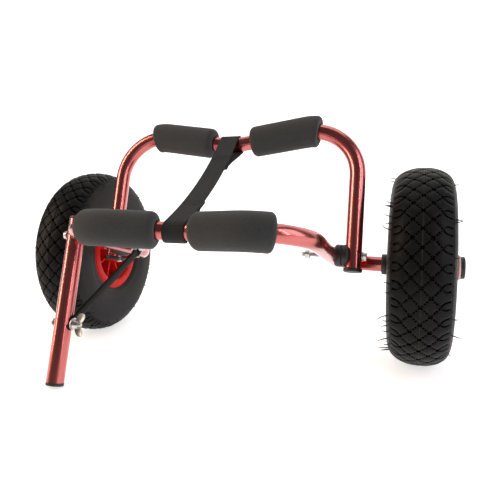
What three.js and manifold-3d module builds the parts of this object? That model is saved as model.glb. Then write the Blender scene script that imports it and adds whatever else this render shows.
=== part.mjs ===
// A folding kayak cart: two bent aluminium frames hinged into a cradle, foam
// pads, a webbing strap, a swing-down stand and two pneumatic wheels.
// Millimetres, +Z up, +Y to the back, the stand on the -X side.

import * as THREE from 'three';
import { mergeVertices } from 'three/addons/utils/BufferGeometryUtils.js';
import Module from 'manifold-3d';

const wasm = await Module();
wasm.setup();

// Driving dimensions: the frames.

const wheelDiameter = 260;
const tubeDiameter = 20.5;
const tubeWall = 1.5;
const seatGap = 0.3;

const axleFrameTilt = THREE.MathUtils.degToRad(17);
const axleFrameHalfWidth = 146;
const axleFrameReach = 262;
const axleBendRadius = 56;
const cornerBendRadius = 62;
const barDip = 26.5;
const barDipRadius = 100;

const legGap = 6.5;
const cradleFrameReach = 176.5;
const cradleLegTail = 15.2;
const cradleAngle = THREE.MathUtils.degToRad(91.8);
const pivotReach = 79;

// Pads and strap.

const padThickness = 10.75;
const nearPadLength = 88;
const farPadLength = 94;
const padFacetLength = 20;
const padEndRadius = 6;
const padBoreGap = 0.5;
const nearPadGap = 10;
const nearPadShift = 4;
const farPadGap = 15;
const strapWidth = 26;
const strapThickness = 2.2;
const strapSag = 10;
const strapEyeSlack = 3;
const strapEyeLength = 57;
const strapNearOffset = 7;
const strapFarOffset = -3;

// Bolts, nuts and the saddles at the pivot.

const boltDiameter = 6;
const boltHeadAcross = 10;
const boltHeadHeight = 4;
const boltTail = 3;
const washerThickness = 1.2;
const washerRadius = 6.4;
const wideWasherRadius = 8;
const slimWasherInset = 0.5;
const nutHeight = 6;
const pivotBoltReach = 38;
const pivotNutSetback = 5;
const wingSpan = 27;
const wingThickness = 2.4;
const wingHeight = 8;
const wingHubRadius = 5.2;
const wingHubHeight = 7.5;
const saddleDiameter = 28;
const saddleWrap = 5.6;
const saddleChamfer = 2;

// The stand, its stay and the caps.

const standTubeDiameter = 22.5;
const standBoltReach = 177.4;
const standTopLength = 24.5;
const standAngle = THREE.MathUtils.degToRad(91.9);
const standSpacing = 2;
const standFootHeight = 3.8;
const standHeelFlat = 6.5;
const standTopCapHeight = 3.5;
const braceBoltDrop = 113.5;
const stayWidth = 12;
const stayThickness = 3;
const stayEndRadius = 8;
const stayUpperFlat = 22;
const stayLowerFlat = 11;
const staySlotPlay = 0.7;
const staySlotLean = THREE.MathUtils.degToRad(23);
const bracketLength = 22;
const bracketSetback = 8;
const bracketWall = 1.5;
const bracketLip = 1.4;
const legCapLip = 1.25;
const legCapHeight = 4.8;
const plugLength = 12;
const collarWall = 3.75;
const collarLength = 8;
const collarSetback = 0.6;
const axleCapLip = 4.35;
const axleCapHeight = 5.6;

// The wheels.

const tyreWidth = 77;
const beadSeatRadius = 50.8;
const crownThickness = 7.5;
const treadPitchCount = 36;
const treadGrooveDepth = 1.9;
const treadGrooveWidth = 2.4;
const rimFlangeHeight = 9.2;
const rimFlangeThickness = 2.6;
const rimHalfWidth = 34.3;
const rimBarrelThickness = 4.5;
const rimWebThickness = 5;
const rimWebOffset = 4;
const rimRibThickness = 3;
const rimRibHalfWidth = 24;
const rimRibCount = 8;
const hubWall = 3.95;
const hubOuterReach = 45;
const hubInnerReach = 38.4;
const bushingWall = 3;
const bushingFlangeLip = 2.75;
const bushingFlangeThickness = 2.4;
const bushingLength = 18;
const innerTubeWall = 2;
const innerTubeFillShare = 0.975;
const valveRadius = 3.6;
const valveOffset = 10;
const valveDrop = 18;
const valveBendRadius = 7;
const valveReach = 22;
const valveCapRadius = 4.4;
const valveCapLength = 9;

// The tyre's half section outside: shares of the height above the bead seat and of
// half the width. The tread's rows are where its grooves cross and end, from the
// crown outwards, and the side goes on from there to the bead.

const treadRowShares = [
  [1, 0],
  [0.989, 0.281],
  [0.9535, 0.552],
  [0.892, 0.757],
];
const tyreSideShares = [
  [0.85, 0.845],
  [0.73, 0.965],
  [0.58, 1],
  [0.4, 1],
  [0.17, 0.93],
];
const shoulderGrooveShare = 0.215;

// The cavity's half section, from its crown to the bead: shares of its height and half width.

const cavityShares = [
  [1, 0],
  [0.94, 0.5],
  [0.83, 0.82],
  [0.66, 0.98],
  [0.42, 1],
  [0.25, 0.9],
];
const cavityWidthShare = 0.885;
const beadToeShare = 0.57;
const wingRootShare = 0.35;
const wingTipShare = 0.7;
const eyeTipShare = 0.9;
const padRoundingLimitShare = 0.9;

// Facets of round things.

const tubeSides = 14;
const boreSides = 8;
const roundSides = 14;
const wheelSides = 28;
const rimSides = 24;
const innerTubeSides = 20;

// Materials.

function finish(colour, roughness, metalness) {
  return new THREE.MeshStandardMaterial({ color: colour, roughness, metalness });
}

const anodisedRed = finish(0xb8443a, 0.25, 1);
const foam = finish(0x3a3a38, 0.95, 0);
const webbing = finish(0x303131, 0.9, 0);
const zinc = finish(0xc4c8cc, 0.35, 1);
const blackPlastic = finish(0x2b2d2a, 0.6, 0);
const nylon = finish(0xe6e2dc, 0.5, 0);
const rimRed = finish(0xc4201c, 0.4, 0);
const tyreRubber = finish(0x2a2a2a, 0.85, 0);
const tubeRubber = finish(0x1d1d1d, 0.7, 0);
const blackSteel = finish(0x1f2020, 0.5, 0.6);

// Worked-out sizes.

const tubeRadius = tubeDiameter / 2;
const boreRadius = tubeRadius - tubeWall;
const padRadius = tubeRadius + padThickness;
const nearPadInset = strapWidth / 2 + nearPadGap;
const farPadInset = strapWidth / 2 + farPadGap;
const boltRadius = boltDiameter / 2;
const wheelRadius = wheelDiameter / 2;
const cradleFrameHalfWidth = axleFrameHalfWidth + tubeDiameter + legGap;
const collarRadius = tubeRadius + collarWall;
const collarEnd = axleFrameHalfWidth + axleBendRadius + collarSetback + collarLength;
const wheelX = collarEnd + 2 * seatGap + bushingFlangeThickness + hubInnerReach;
const axleTubeEnd = wheelX + hubOuterReach + seatGap + bushingFlangeThickness;
const axleCapRadius = tubeRadius + axleCapLip;
const standRadius = standTubeDiameter / 2;
const standX = -(axleFrameHalfWidth + tubeRadius + standSpacing + standRadius);
const standLean = standAngle + axleFrameTilt - Math.PI / 2;
const standDrop = (wheelRadius + standBoltReach * Math.sin(axleFrameTilt)) / Math.cos(standLean);
const standSole = standDrop - (standRadius - standHeelFlat) * Math.tan(standLean);
const cutOverrun = 2 * tubeDiameter;

// Solids and booleans.

function toSolid(geometry) {
  const bare = geometry.clone();
  bare.deleteAttribute('normal');
  bare.deleteAttribute('uv');
  const welded = mergeVertices(bare);
  const vertProperties = new Float32Array(welded.attributes.position.array);
  const triVerts = new Uint32Array(welded.index.array);
  return new wasm.Manifold(new wasm.Mesh({ numProp: 3, vertProperties, triVerts }));
}

function toGeometry(solid) {
  const { vertProperties, triVerts } = solid.getMesh();
  const geometry = new THREE.BufferGeometry();
  geometry.setAttribute('position', new THREE.BufferAttribute(vertProperties, 3));
  geometry.setIndex(new THREE.BufferAttribute(triVerts, 1));
  geometry.computeVertexNormals();
  return geometry;
}

function joined(...geometries) {
  return toGeometry(geometries.map(toSolid).reduce((sum, solid) => sum.add(solid)));
}

function cut(geometry, ...tools) {
  return toGeometry(tools.map(toSolid).reduce((rest, tool) => rest.subtract(tool), toSolid(geometry)));
}

function shared(geometry, other) {
  return toGeometry(toSolid(geometry).intersect(toSolid(other)));
}

function named(name, geometry, material) {
  const mesh = new THREE.Mesh(geometry, material);
  mesh.name = name;
  return mesh;
}

// Small shapes.

// A faceted hole whose flats stay clear of a round of the given radius.
function clearBore(radius, sides = roundSides) {
  return (radius + seatGap) / Math.cos(Math.PI / sides);
}

function rodAlongX(radius, fromX, toX, sides = roundSides) {
  const rod = new THREE.CylinderGeometry(radius, radius, Math.abs(toX - fromX), sides);
  rod.rotateZ(Math.PI / 2);
  rod.translate((fromX + toX) / 2, 0, 0);
  return rod;
}

function rodAlongZ(radius, fromZ, toZ, sides = roundSides) {
  const rod = new THREE.CylinderGeometry(radius, radius, toZ - fromZ, sides);
  rod.rotateX(Math.PI / 2);
  rod.translate(0, 0, (fromZ + toZ) / 2);
  return rod;
}

// A round turned about X from [radius, place along X] pairs, listed so that the
// outside runs along +X. A profile clear of the axis closes on itself.
function turnedAboutX(profile, sides = roundSides) {
  const points = profile.map(([radius, along]) => new THREE.Vector2(radius, -along));
  if (profile.every(([radius]) => radius > 0)) points.push(points[0].clone());
  const turned = new THREE.LatheGeometry(points.reverse(), sides);
  turned.rotateZ(Math.PI / 2);
  return turned;
}

function ringAboutX(outerRadius, innerRadius, oneX, otherX, sides = roundSides) {
  const fromX = Math.min(oneX, otherX);
  const toX = Math.max(oneX, otherX);
  const profile = [
    [innerRadius, fromX],
    [outerRadius, fromX],
    [outerRadius, toX],
    [innerRadius, toX],
  ];
  return turnedAboutX(profile, sides);
}

function polygonPoints(radius, sides) {
  const points = [];
  for (let i = 0; i < sides; i += 1) {
    const angle = (2 * Math.PI * i) / sides;
    points.push(new THREE.Vector2(radius * Math.cos(angle), radius * Math.sin(angle)));
  }
  return points;
}

// A path of straight runs joined by round bends.
function bentPath(corners, radii) {
  const path = new THREE.CurvePath();
  let from = corners[0];
  for (let i = 1; i < corners.length - 1; i += 1) {
    const into = corners[i].clone().sub(corners[i - 1]).normalize();
    const out = corners[i + 1].clone().sub(corners[i]).normalize();
    const turn = into.angleTo(out);
    const radius = radii[i - 1];
    const setback = radius * Math.tan(turn / 2);
    const handle = (radius * Math.tan(turn / 4) * 4) / 3;
    const arcStart = corners[i].clone().addScaledVector(into, -setback);
    const arcEnd = corners[i].clone().addScaledVector(out, setback);
    const leaving = arcStart.clone().addScaledVector(into, handle);
    const arriving = arcEnd.clone().addScaledVector(out, -handle);
    path.add(new THREE.LineCurve3(from, arcStart));
    path.add(new THREE.CubicBezierCurve3(arcStart, leaving, arriving, arcEnd));
    from = arcEnd;
  }
  path.add(new THREE.LineCurve3(from, corners[corners.length - 1]));
  return path;
}

// A solid rod or, given an inner radius, an open-ended tube.
function swept(path, steps, outerRadius, innerRadius = 0, sides = tubeSides) {
  const section = new THREE.Shape(polygonPoints(outerRadius, sides));
  if (innerRadius > 0) {
    const boreCorner = innerRadius / Math.cos(Math.PI / boreSides);
    section.holes.push(new THREE.Path(polygonPoints(boreCorner, boreSides)));
  }
  return new THREE.ExtrudeGeometry(section, { steps, extrudePath: path });
}

// Bends a round made along +Y so that it follows a path in the XZ plane.
function bentAlong(geometry, path, startLength) {
  const total = path.getLength();
  const position = geometry.attributes.position;
  const sideways = new THREE.Vector3(0, 1, 0);
  for (let i = 0; i < position.count; i += 1) {
    const share = (startLength + position.getY(i)) / total;
    const centre = path.getPointAt(share);
    const inward = path.getTangentAt(share).cross(sideways);
    centre.addScaledVector(inward, position.getX(i));
    centre.addScaledVector(sideways, position.getZ(i));
    position.setXYZ(i, centre.x, centre.y, centre.z);
  }
  return geometry;
}

// The two bent frames, each in its own XZ plane with its legs along Z. The axle
// frame starts at the axle and the cradle frame at the pivot.

function framePath(tails, halfWidth, reach, tailRadii) {
  const corners = [
    new THREE.Vector3(-halfWidth, 0, reach),
    new THREE.Vector3(0, 0, reach - barDip),
    new THREE.Vector3(halfWidth, 0, reach),
  ];
  const left = tails.map(([x, z]) => new THREE.Vector3(-x, 0, z));
  const right = tails.map(([x, z]) => new THREE.Vector3(x, 0, z)).reverse();
  const bends = [...tailRadii, cornerBendRadius, barDipRadius, cornerBendRadius, ...tailRadii];
  return bentPath([...left, ...corners, ...right], bends);
}

const axleFramePath = framePath(
  [[axleTubeEnd, 0], [axleFrameHalfWidth, 0]],
  axleFrameHalfWidth,
  axleFrameReach,
  [axleBendRadius],
);
const cradleFramePath = framePath(
  [[cradleFrameHalfWidth, -cradleLegTail]],
  cradleFrameHalfWidth,
  cradleFrameReach,
  [],
);

function boltHole(x, z) {
  const hole = rodAlongX(clearBore(boltRadius), x - cutOverrun, x + cutOverrun);
  hole.translate(0, 0, z);
  return hole;
}

function axleFrameTube() {
  const steps = 52;
  return cut(
    swept(axleFramePath, steps, tubeRadius, boreRadius),
    boltHole(-axleFrameHalfWidth, pivotReach),
    boltHole(axleFrameHalfWidth, pivotReach),
    boltHole(-axleFrameHalfWidth, standBoltReach),
  );
}

function cradleFrameTube() {
  const steps = 38;
  return cut(
    swept(cradleFramePath, steps, tubeRadius, boreRadius),
    boltHole(-cradleFrameHalfWidth, 0),
    boltHole(cradleFrameHalfWidth, 0),
  );
}

// A foam sleeve with rounded ends, slid along a frame's bar.
function foamPad(path, side, inset, length) {
  const bends = Math.ceil(length / padFacetLength);
  const roundSteps = 3;
  const bore = clearBore(tubeRadius + padBoreGap, tubeSides);
  const endRadius = Math.min(padEndRadius, (padRadius - bore) * padRoundingLimitShare);
  const rounding = [];
  for (let i = 0; i <= roundSteps; i += 1) {
    const angle = (Math.PI / 2) * (i / roundSteps);
    const radius = padRadius - endRadius * (1 - Math.sin(angle));
    rounding.push([radius, endRadius * (1 - Math.cos(angle))]);
  }
  const outside = rounding.slice();
  for (let i = 1; i < bends; i += 1) {
    outside.push([padRadius, endRadius + (length - 2 * endRadius) * (i / bends)]);
  }
  rounding.reverse().forEach(([radius, along]) => outside.push([radius, length - along]));
  const inside = [];
  for (let i = bends; i >= 0; i -= 1) inside.push([bore, (length * i) / bends]);
  const points = [...outside, ...inside, outside[0]];
  const profile = points.map(([radius, along]) => new THREE.Vector2(radius, along));
  const sleeve = new THREE.LatheGeometry(profile, tubeSides);
  const middle = path.getLength() / 2;
  return bentAlong(sleeve, path, side < 0 ? middle - inset - length : middle + inset);
}

// Fasteners, all along X.

function hexagonAlongX(fromX, toX) {
  return rodAlongX(boltHeadAcross / 2 / Math.cos(Math.PI / 6), fromX, toX, 6);
}

// The head stands out from headX in the outward direction, -1 or 1.
function hexBolt(headX, tipX, outward) {
  const head = hexagonAlongX(headX, headX + outward * boltHeadHeight);
  return joined(head, rodAlongX(boltRadius, headX + (outward * boltHeadHeight) / 2, tipX));
}

function hexNut(fromX, toX) {
  const bore = rodAlongX(clearBore(boltRadius), fromX - cutOverrun, toX + cutOverrun);
  return cut(hexagonAlongX(fromX, toX), bore);
}

function washer(radius, fromX, toX) {
  return ringAboutX(radius, clearBore(boltRadius), fromX, toX);
}

// A wing nut on its seat, its wings in the XZ plane and standing away to +X.
function wingNut(seatX) {
  const hub = ringAboutX(wingHubRadius, clearBore(boltRadius), seatX, seatX + wingHubHeight);
  const root = (wingHubRadius + boltRadius + seatGap) / 2;
  const tip = wingHubHeight + wingHeight;
  const outline = new THREE.Shape();
  outline.moveTo(0, root);
  outline.lineTo(wingHubHeight * wingRootShare, wingHubRadius + wingThickness / 2);
  outline.quadraticCurveTo(wingHubHeight / 2, wingSpan / 2, wingHubHeight, wingSpan / 2);
  outline.lineTo(wingHubHeight + wingHeight * wingTipShare, wingSpan / 2 - wingThickness);
  outline.quadraticCurveTo(tip, wingSpan / 3, wingHubHeight, wingHubRadius);
  outline.lineTo(wingHubHeight * wingTipShare, root);
  outline.closePath();
  const wing = new THREE.ExtrudeGeometry(outline, {
    depth: wingThickness,
    bevelEnabled: false,
    curveSegments: 3,
  });
  wing.translate(seatX, 0, -wingThickness / 2);
  wing.rotateX(Math.PI / 2);
  return joined(hub, wing, wing.clone().rotateX(Math.PI));
}

// Half of the round saddle between two legs. It cups its own leg, and the two
// halves turn on each other at a flat face.
function saddleHalf(side, legX, flatX) {
  const towardsLeg = side * Math.sign(Math.abs(legX) - Math.abs(flatX));
  const rimX = legX - towardsLeg * (tubeRadius - saddleWrap);
  const radius = saddleDiameter / 2;
  const bore = clearBore(boltRadius);
  const profile = [
    [bore, flatX],
    [radius, flatX],
    [radius, rimX - towardsLeg * saddleChamfer],
    [radius - saddleChamfer, rimX],
    [bore, rimX],
  ];
  if (flatX > rimX) profile.reverse();
  const cup = rodAlongZ(tubeRadius + seatGap, -saddleDiameter, saddleDiameter);
  cup.translate(legX, 0, 0);
  return cut(turnedAboutX(profile), cup);
}

// A round cap on a tube's end at z = 0, its head towards +Z and its plug inside.
function tubeCap(headRadius, headHeight, plugRadius) {
  const head = rodAlongZ(headRadius, seatGap, seatGap + headHeight);
  return joined(head, rodAlongZ(plugRadius, -plugLength, seatGap + headHeight / 2));
}

// Where the pieces on the pivot bolts lie along X.

const pivotFaceX = cradleFrameHalfWidth + tubeRadius + seatGap;
const pivotHeadX = pivotFaceX + washerThickness + seatGap;
const pivotTipX = axleFrameHalfWidth - pivotBoltReach;
const saddleFlatX = (axleFrameHalfWidth + cradleFrameHalfWidth) / 2;
const bracketX = -(axleFrameHalfWidth - tubeRadius) + seatGap;
const stayUpperX = bracketX + bracketWall + seatGap;
const slimWasherX = stayUpperX + stayThickness + seatGap;
const pivotWingX = slimWasherX + washerThickness + seatGap;
const bracketDepth = pivotWingX - bracketX + bracketLip;

function sideName(side) {
  return side < 0 ? 'left' : 'right';
}

function pivotBoltSet(side) {
  const label = sideName(side);
  const group = new THREE.Group();
  group.position.z = pivotReach;
  const bolt = hexBolt(side * pivotHeadX, side * pivotTipX, side);
  const ring = washer(washerRadius, side * pivotFaceX, side * (pivotFaceX + washerThickness));
  const half = saddleHalf(side, side * axleFrameHalfWidth, side * (saddleFlatX - seatGap / 2));
  group.add(named(`pivot_bolt_${label}`, bolt, zinc));
  group.add(named(`pivot_washer_${label}`, ring, zinc));
  group.add(named(`near_saddle_${label}`, half, blackPlastic));
  return group;
}

function pivotNuts() {
  const group = new THREE.Group();
  group.position.z = pivotReach;
  const nutX = pivotTipX + pivotNutSetback;
  const ringRadius = stayWidth / 2 - slimWasherInset;
  const ring = washer(ringRadius, slimWasherX, slimWasherX + washerThickness);
  group.add(named('pivot_nut_right', hexNut(nutX, nutX + nutHeight), zinc));
  group.add(named('pivot_wing_nut_left', wingNut(pivotWingX), zinc));
  group.add(named('wing_nut_washer_left', ring, zinc));
  return group;
}

// The bolt that the stand swings on, through the left leg.
function standBoltSet() {
  const group = new THREE.Group();
  group.position.z = standBoltReach;
  const faceX = standX - standRadius - seatGap;
  const headX = faceX - washerThickness - seatGap;
  const spacerX = standX + standRadius + (standSpacing - washerThickness) / 2;
  const tipX = bracketX + nutHeight + boltTail;
  const ring = washer(washerRadius, faceX - washerThickness, faceX);
  const spacer = washer(wideWasherRadius, spacerX, spacerX + washerThickness);
  group.add(named('stand_bolt', hexBolt(headX, tipX, -1), zinc));
  group.add(named('stand_bolt_washer', ring, zinc));
  group.add(named('stand_spacer_washer', spacer, zinc));
  group.add(named('stand_bolt_nut', hexNut(bracketX, bracketX + nutHeight), zinc));
  return group;
}

// The collar inside each wheel, and the cap that closes the axle and holds it on.
function axleEnd(side) {
  const label = sideName(side);
  const group = new THREE.Group();
  const bore = clearBore(tubeRadius);
  const collar = ringAboutX(collarRadius, bore, side * (collarEnd - collarLength), side * collarEnd);
  const cap = tubeCap(axleCapRadius, axleCapHeight, boreRadius - seatGap);
  cap.rotateY((side * Math.PI) / 2);
  cap.translate(side * axleTubeEnd, 0, 0);
  group.add(named(`axle_collar_${label}`, collar, blackPlastic));
  group.add(named(`axle_cap_${label}`, cap, blackPlastic));
  return group;
}

// The cradle frame turns on the pivot bolts.

function cradleFrame() {
  const group = new THREE.Group();
  group.position.z = pivotReach;
  group.rotation.x = -cradleAngle;
  group.add(named('cradle_frame_tube', cradleFrameTube(), anodisedRed));
  for (const side of [-1, 1]) {
    const label = sideName(side);
    const legX = side * cradleFrameHalfWidth;
    const half = saddleHalf(side, legX, side * (saddleFlatX + seatGap / 2));
    const cap = tubeCap(tubeRadius + legCapLip, legCapHeight, boreRadius - seatGap);
    cap.rotateX(Math.PI);
    cap.translate(legX, 0, -cradleLegTail);
    const pad = foamPad(cradleFramePath, side, farPadInset, farPadLength);
    group.add(named(`far_pad_${label}`, pad, foam));
    group.add(named(`far_saddle_${label}`, half, blackPlastic));
    group.add(named(`leg_cap_${label}`, cap, blackPlastic));
  }
  return group;
}

// The stand hangs beside the left leg. Its own frame has the bolt at z = 0 and
// the foot towards -Z.

const standTubeTop = standTopLength - standTopCapHeight - seatGap;
const standTubeBottom = standFootHeight + seatGap - standSole;
const standPlugRadius = standRadius - tubeWall - seatGap;

function standTube() {
  const top = new THREE.Vector3(0, 0, standTubeTop);
  const bottom = new THREE.Vector3(0, 0, standTubeBottom);
  const tube = swept(new THREE.LineCurve3(bottom, top), 1, standRadius, standRadius - tubeWall);
  return cut(tube, boltHole(0, 0), boltHole(0, -braceBoltDrop));
}

// The foot is square to the tube, with its heel cut level where it meets the ground.
function standFoot() {
  const foot = tubeCap(standRadius, standFootHeight, standPlugRadius);
  foot.rotateX(Math.PI);
  foot.translate(0, 0, standTubeBottom);
  const ground = new THREE.BoxGeometry(cutOverrun, cutOverrun, cutOverrun);
  ground.translate(0, 0, -cutOverrun / 2);
  ground.rotateX(standLean);
  ground.translate(0, 0, -standDrop);
  return cut(foot, ground);
}

function stand() {
  const group = new THREE.Group();
  group.position.set(standX, 0, standBoltReach);
  group.rotation.x = -standAngle;
  const topCap = tubeCap(standRadius, standTopCapHeight, standPlugRadius);
  topCap.translate(0, 0, standTubeTop);
  group.add(named('stand_tube', standTube(), anodisedRed));
  group.add(named('stand_top_cap', topCap, blackPlastic));
  group.add(named('stand_foot', standFoot(), blackPlastic));
  const faceX = standRadius + seatGap;
  const ringX = faceX + stayThickness + seatGap;
  const wingX = ringX + washerThickness + seatGap;
  const fasteners = new THREE.Group();
  fasteners.position.z = -braceBoltDrop;
  const bolt = hexBolt(-faceX, wingX + wingHubHeight + boltTail, -1);
  const ring = washer(wideWasherRadius, ringX, ringX + washerThickness);
  fasteners.add(named('brace_bolt', bolt, zinc));
  fasteners.add(named('brace_washer', ring, zinc));
  fasteners.add(named('brace_wing_nut', wingNut(wingX), zinc));
  group.add(fasteners);
  return group;
}

// The stay links the left pivot bolt and the brace bolt. Its own frame has the
// pivot at the origin and the brace bolt along +Z.

const braceFromPivot = new THREE.Vector2(
  -braceBoltDrop * Math.sin(standAngle),
  standBoltReach - pivotReach - braceBoltDrop * Math.cos(standAngle),
);
const stayLength = braceFromPivot.length();

// The strip's edge, seen from the front: flat at both ends with a set between.
function stayFolded() {
  const lowerX = standX + standRadius + seatGap;
  const bends = [
    [stayUpperX, -stayEndRadius],
    [stayUpperX, stayUpperFlat],
    [lowerX, stayLength - stayLowerFlat],
    [lowerX, stayLength + stayEndRadius],
  ];
  const profile = new THREE.Shape();
  profile.moveTo(...bends[0]);
  bends.slice(1).forEach(([x, z]) => profile.lineTo(x, z));
  bends.slice().reverse().forEach(([x, z]) => profile.lineTo(x + stayThickness, z));
  profile.closePath();
  const folded = new THREE.ExtrudeGeometry(profile, { depth: saddleDiameter, bevelEnabled: false });
  folded.translate(0, 0, -saddleDiameter / 2);
  folded.rotateX(Math.PI / 2);
  return folded;
}

function plateAcrossX(outline, depth, curveSegments) {
  const plate = new THREE.ExtrudeGeometry(outline, { depth, bevelEnabled: false, curveSegments });
  plate.rotateX(Math.PI / 2);
  plate.rotateZ(Math.PI / 2);
  return plate;
}

// The strip's face, seen along X, with round ends.
function stayFace() {
  const halfWidth = stayWidth / 2;
  const outline = new THREE.Shape();
  outline.moveTo(halfWidth, 0);
  outline.lineTo(halfWidth, stayLength - stayLowerFlat);
  outline.lineTo(stayEndRadius, stayLength);
  outline.absarc(0, stayLength, stayEndRadius, 0, Math.PI, false);
  outline.lineTo(-halfWidth, stayLength - stayLowerFlat);
  outline.lineTo(-halfWidth, 0);
  outline.absarc(0, 0, halfWidth, Math.PI, 2 * Math.PI, false);
  const face = plateAcrossX(outline, wheelX, 4);
  face.translate(-wheelX, 0, 0);
  return face;
}

function stay() {
  const group = new THREE.Group();
  group.position.z = pivotReach;
  group.rotation.x = Math.atan2(-braceFromPivot.x, braceFromPivot.y);
  const slotRadius = boltRadius + staySlotPlay;
  const slotEnd = rodAlongX(slotRadius, -wheelX, 0);
  const slotMouth = new THREE.BoxGeometry(wheelX, cutOverrun, 2 * slotRadius);
  slotMouth.translate(-wheelX / 2, cutOverrun / 2, 0);
  slotMouth.rotateX(staySlotLean);
  slotEnd.translate(0, 0, stayLength);
  slotMouth.translate(0, 0, stayLength);
  const pivotHole = rodAlongX(clearBore(boltRadius), -wheelX, 0);
  const strip = cut(shared(stayFolded(), stayFace()), pivotHole, slotEnd, slotMouth);
  group.add(named('stay_strip', strip, blackSteel));
  group.add(named('stay_bracket', stayBracket(), zinc));
  return group;
}

// A channel on the pivot bolt that holds the strip's upper end by its edges.
function stayBracket() {
  const outerHalf = stayWidth / 2 + seatGap + bracketWall;
  const innerHalf = stayWidth / 2 + seatGap;
  const section = new THREE.Shape();
  section.moveTo(bracketX, -outerHalf);
  section.lineTo(bracketX + bracketDepth, -outerHalf);
  section.lineTo(bracketX + bracketDepth, -innerHalf);
  section.lineTo(bracketX + bracketWall, -innerHalf);
  section.lineTo(bracketX + bracketWall, innerHalf);
  section.lineTo(bracketX + bracketDepth, innerHalf);
  section.lineTo(bracketX + bracketDepth, outerHalf);
  section.lineTo(bracketX, outerHalf);
  section.closePath();
  const channel = new THREE.ExtrudeGeometry(section, { depth: bracketLength, bevelEnabled: false });
  channel.translate(0, 0, -bracketSetback);
  return cut(channel, rodAlongX(clearBore(boltRadius), -wheelX, 0));
}

// The strap: webbing with a sewn eye round each frame's bar, hanging in a slight
// curve. Its outline is drawn from the near bar along +X with the upper side
// towards +Y, then set on the line between the bars.

function barHeight(path, offset) {
  return path.getPointAt(0.5 + offset / path.getLength()).z;
}

function strap() {
  const nearZ = barHeight(axleFramePath, strapNearOffset);
  const farReach = barHeight(cradleFramePath, strapFarOffset);
  const near = new THREE.Vector3(strapNearOffset, 0, nearZ);
  const far = new THREE.Vector3(strapFarOffset, 0, farReach);
  far.applyAxisAngle(new THREE.Vector3(1, 0, 0), -cradleAngle);
  far.z += pivotReach;
  const span = Math.hypot(far.y - near.y, far.z - near.z);
  const eye = tubeRadius + strapEyeSlack;
  const outer = eye + strapThickness;
  const upper = (along) => outer - (4 * strapSag * along * (span - along)) / span ** 2;
  const lower = (along) => upper(along) - strapThickness;
  const sewn = [strapEyeLength, span - strapEyeLength];
  const middleDip = 2 * lower(span / 2) - (lower(sewn[0]) + lower(sewn[1])) / 2;
  const outline = new THREE.Shape();
  outline.moveTo(0, -outer);
  outline.lineTo(sewn[0], lower(sewn[0]));
  outline.quadraticCurveTo(span / 2, middleDip, sewn[1], lower(sewn[1]));
  outline.lineTo(span, -outer);
  outline.absarc(span, 0, outer, -Math.PI / 2, Math.PI / 2, false);
  outline.quadraticCurveTo(span / 2, outer - 2 * strapSag, 0, outer);
  outline.absarc(0, 0, outer, Math.PI / 2, (3 * Math.PI) / 2, false);
  const tip = strapEyeLength * eyeTipShare;
  const tipHeight = lower(tip) - strapThickness / 8;
  const nearEye = new THREE.Path();
  nearEye.moveTo(tip, tipHeight);
  nearEye.lineTo(0, eye);
  nearEye.absarc(0, 0, eye, Math.PI / 2, (3 * Math.PI) / 2, false);
  nearEye.closePath();
  const farEye = new THREE.Path();
  farEye.moveTo(span - tip, tipHeight);
  farEye.lineTo(span, -eye);
  farEye.absarc(span, 0, eye, -Math.PI / 2, Math.PI / 2, false);
  farEye.closePath();
  outline.holes.push(nearEye, farEye);
  const loop = new THREE.ExtrudeGeometry(outline, {
    depth: strapWidth,
    bevelEnabled: false,
    curveSegments: 5,
  });
  loop.translate(0, 0, -strapWidth / 2);
  const along = new THREE.Vector3(0, far.y - near.y, far.z - near.z).normalize();
  const across = new THREE.Vector3(1, 0, 0);
  const slant = new THREE.Matrix4().makeShear(0, 0, 0, 0, 0, 0);
  slant.elements[2] = (far.x - near.x) / span;
  loop.applyMatrix4(slant);
  const up = across.clone().cross(along);
  const place = new THREE.Matrix4().makeBasis(along, up, across).setPosition(near);
  loop.applyMatrix4(place);
  return named('strap', loop, webbing);
}

// The axle frame and everything that hangs from it. Its own XZ plane is tilted
// forwards and up from the axle.

function axleFrame() {
  const group = new THREE.Group();
  group.position.z = wheelRadius;
  group.rotation.x = Math.PI / 2 - axleFrameTilt;
  group.add(named('axle_frame_tube', axleFrameTube(), anodisedRed));
  for (const side of [-1, 1]) {
    const inset = nearPadInset + side * nearPadShift;
    const pad = foamPad(axleFramePath, side, inset, nearPadLength);
    group.add(named(`near_pad_${sideName(side)}`, pad, foam));
    group.add(pivotBoltSet(side), axleEnd(side));
  }
  group.add(pivotNuts(), standBoltSet(), strap(), cradleFrame(), stand(), stay());
  return group;
}

// The wheels, each in its own frame with the axle along X and the outer side
// towards +X.

const wheelFacetStretch = 1 / Math.cos(Math.PI / wheelSides);
const rimSeatRadius = beadSeatRadius - seatGap;
const barrelBoreRadius = rimSeatRadius - rimBarrelThickness;
const rimFlangeRadius = beadSeatRadius + rimFlangeHeight;
const bushingRadius = tubeRadius + seatGap + bushingWall;
const bushingFlangeRadius = bushingRadius + bushingFlangeLip;
const hubRadius = bushingRadius + hubWall;
const tyreHeight = wheelRadius - beadSeatRadius;
const cavityTop = wheelRadius - crownThickness;

function wheelTurned(profile, sides = wheelSides) {
  const turned = turnedAboutX(profile, sides);
  turned.rotateX(Math.PI / sides);
  return turned;
}

// The tread is a lattice of grooves between raised diamonds, which opens towards
// the shoulders. It is laid out unrolled, x round the wheel and y across it.

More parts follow.
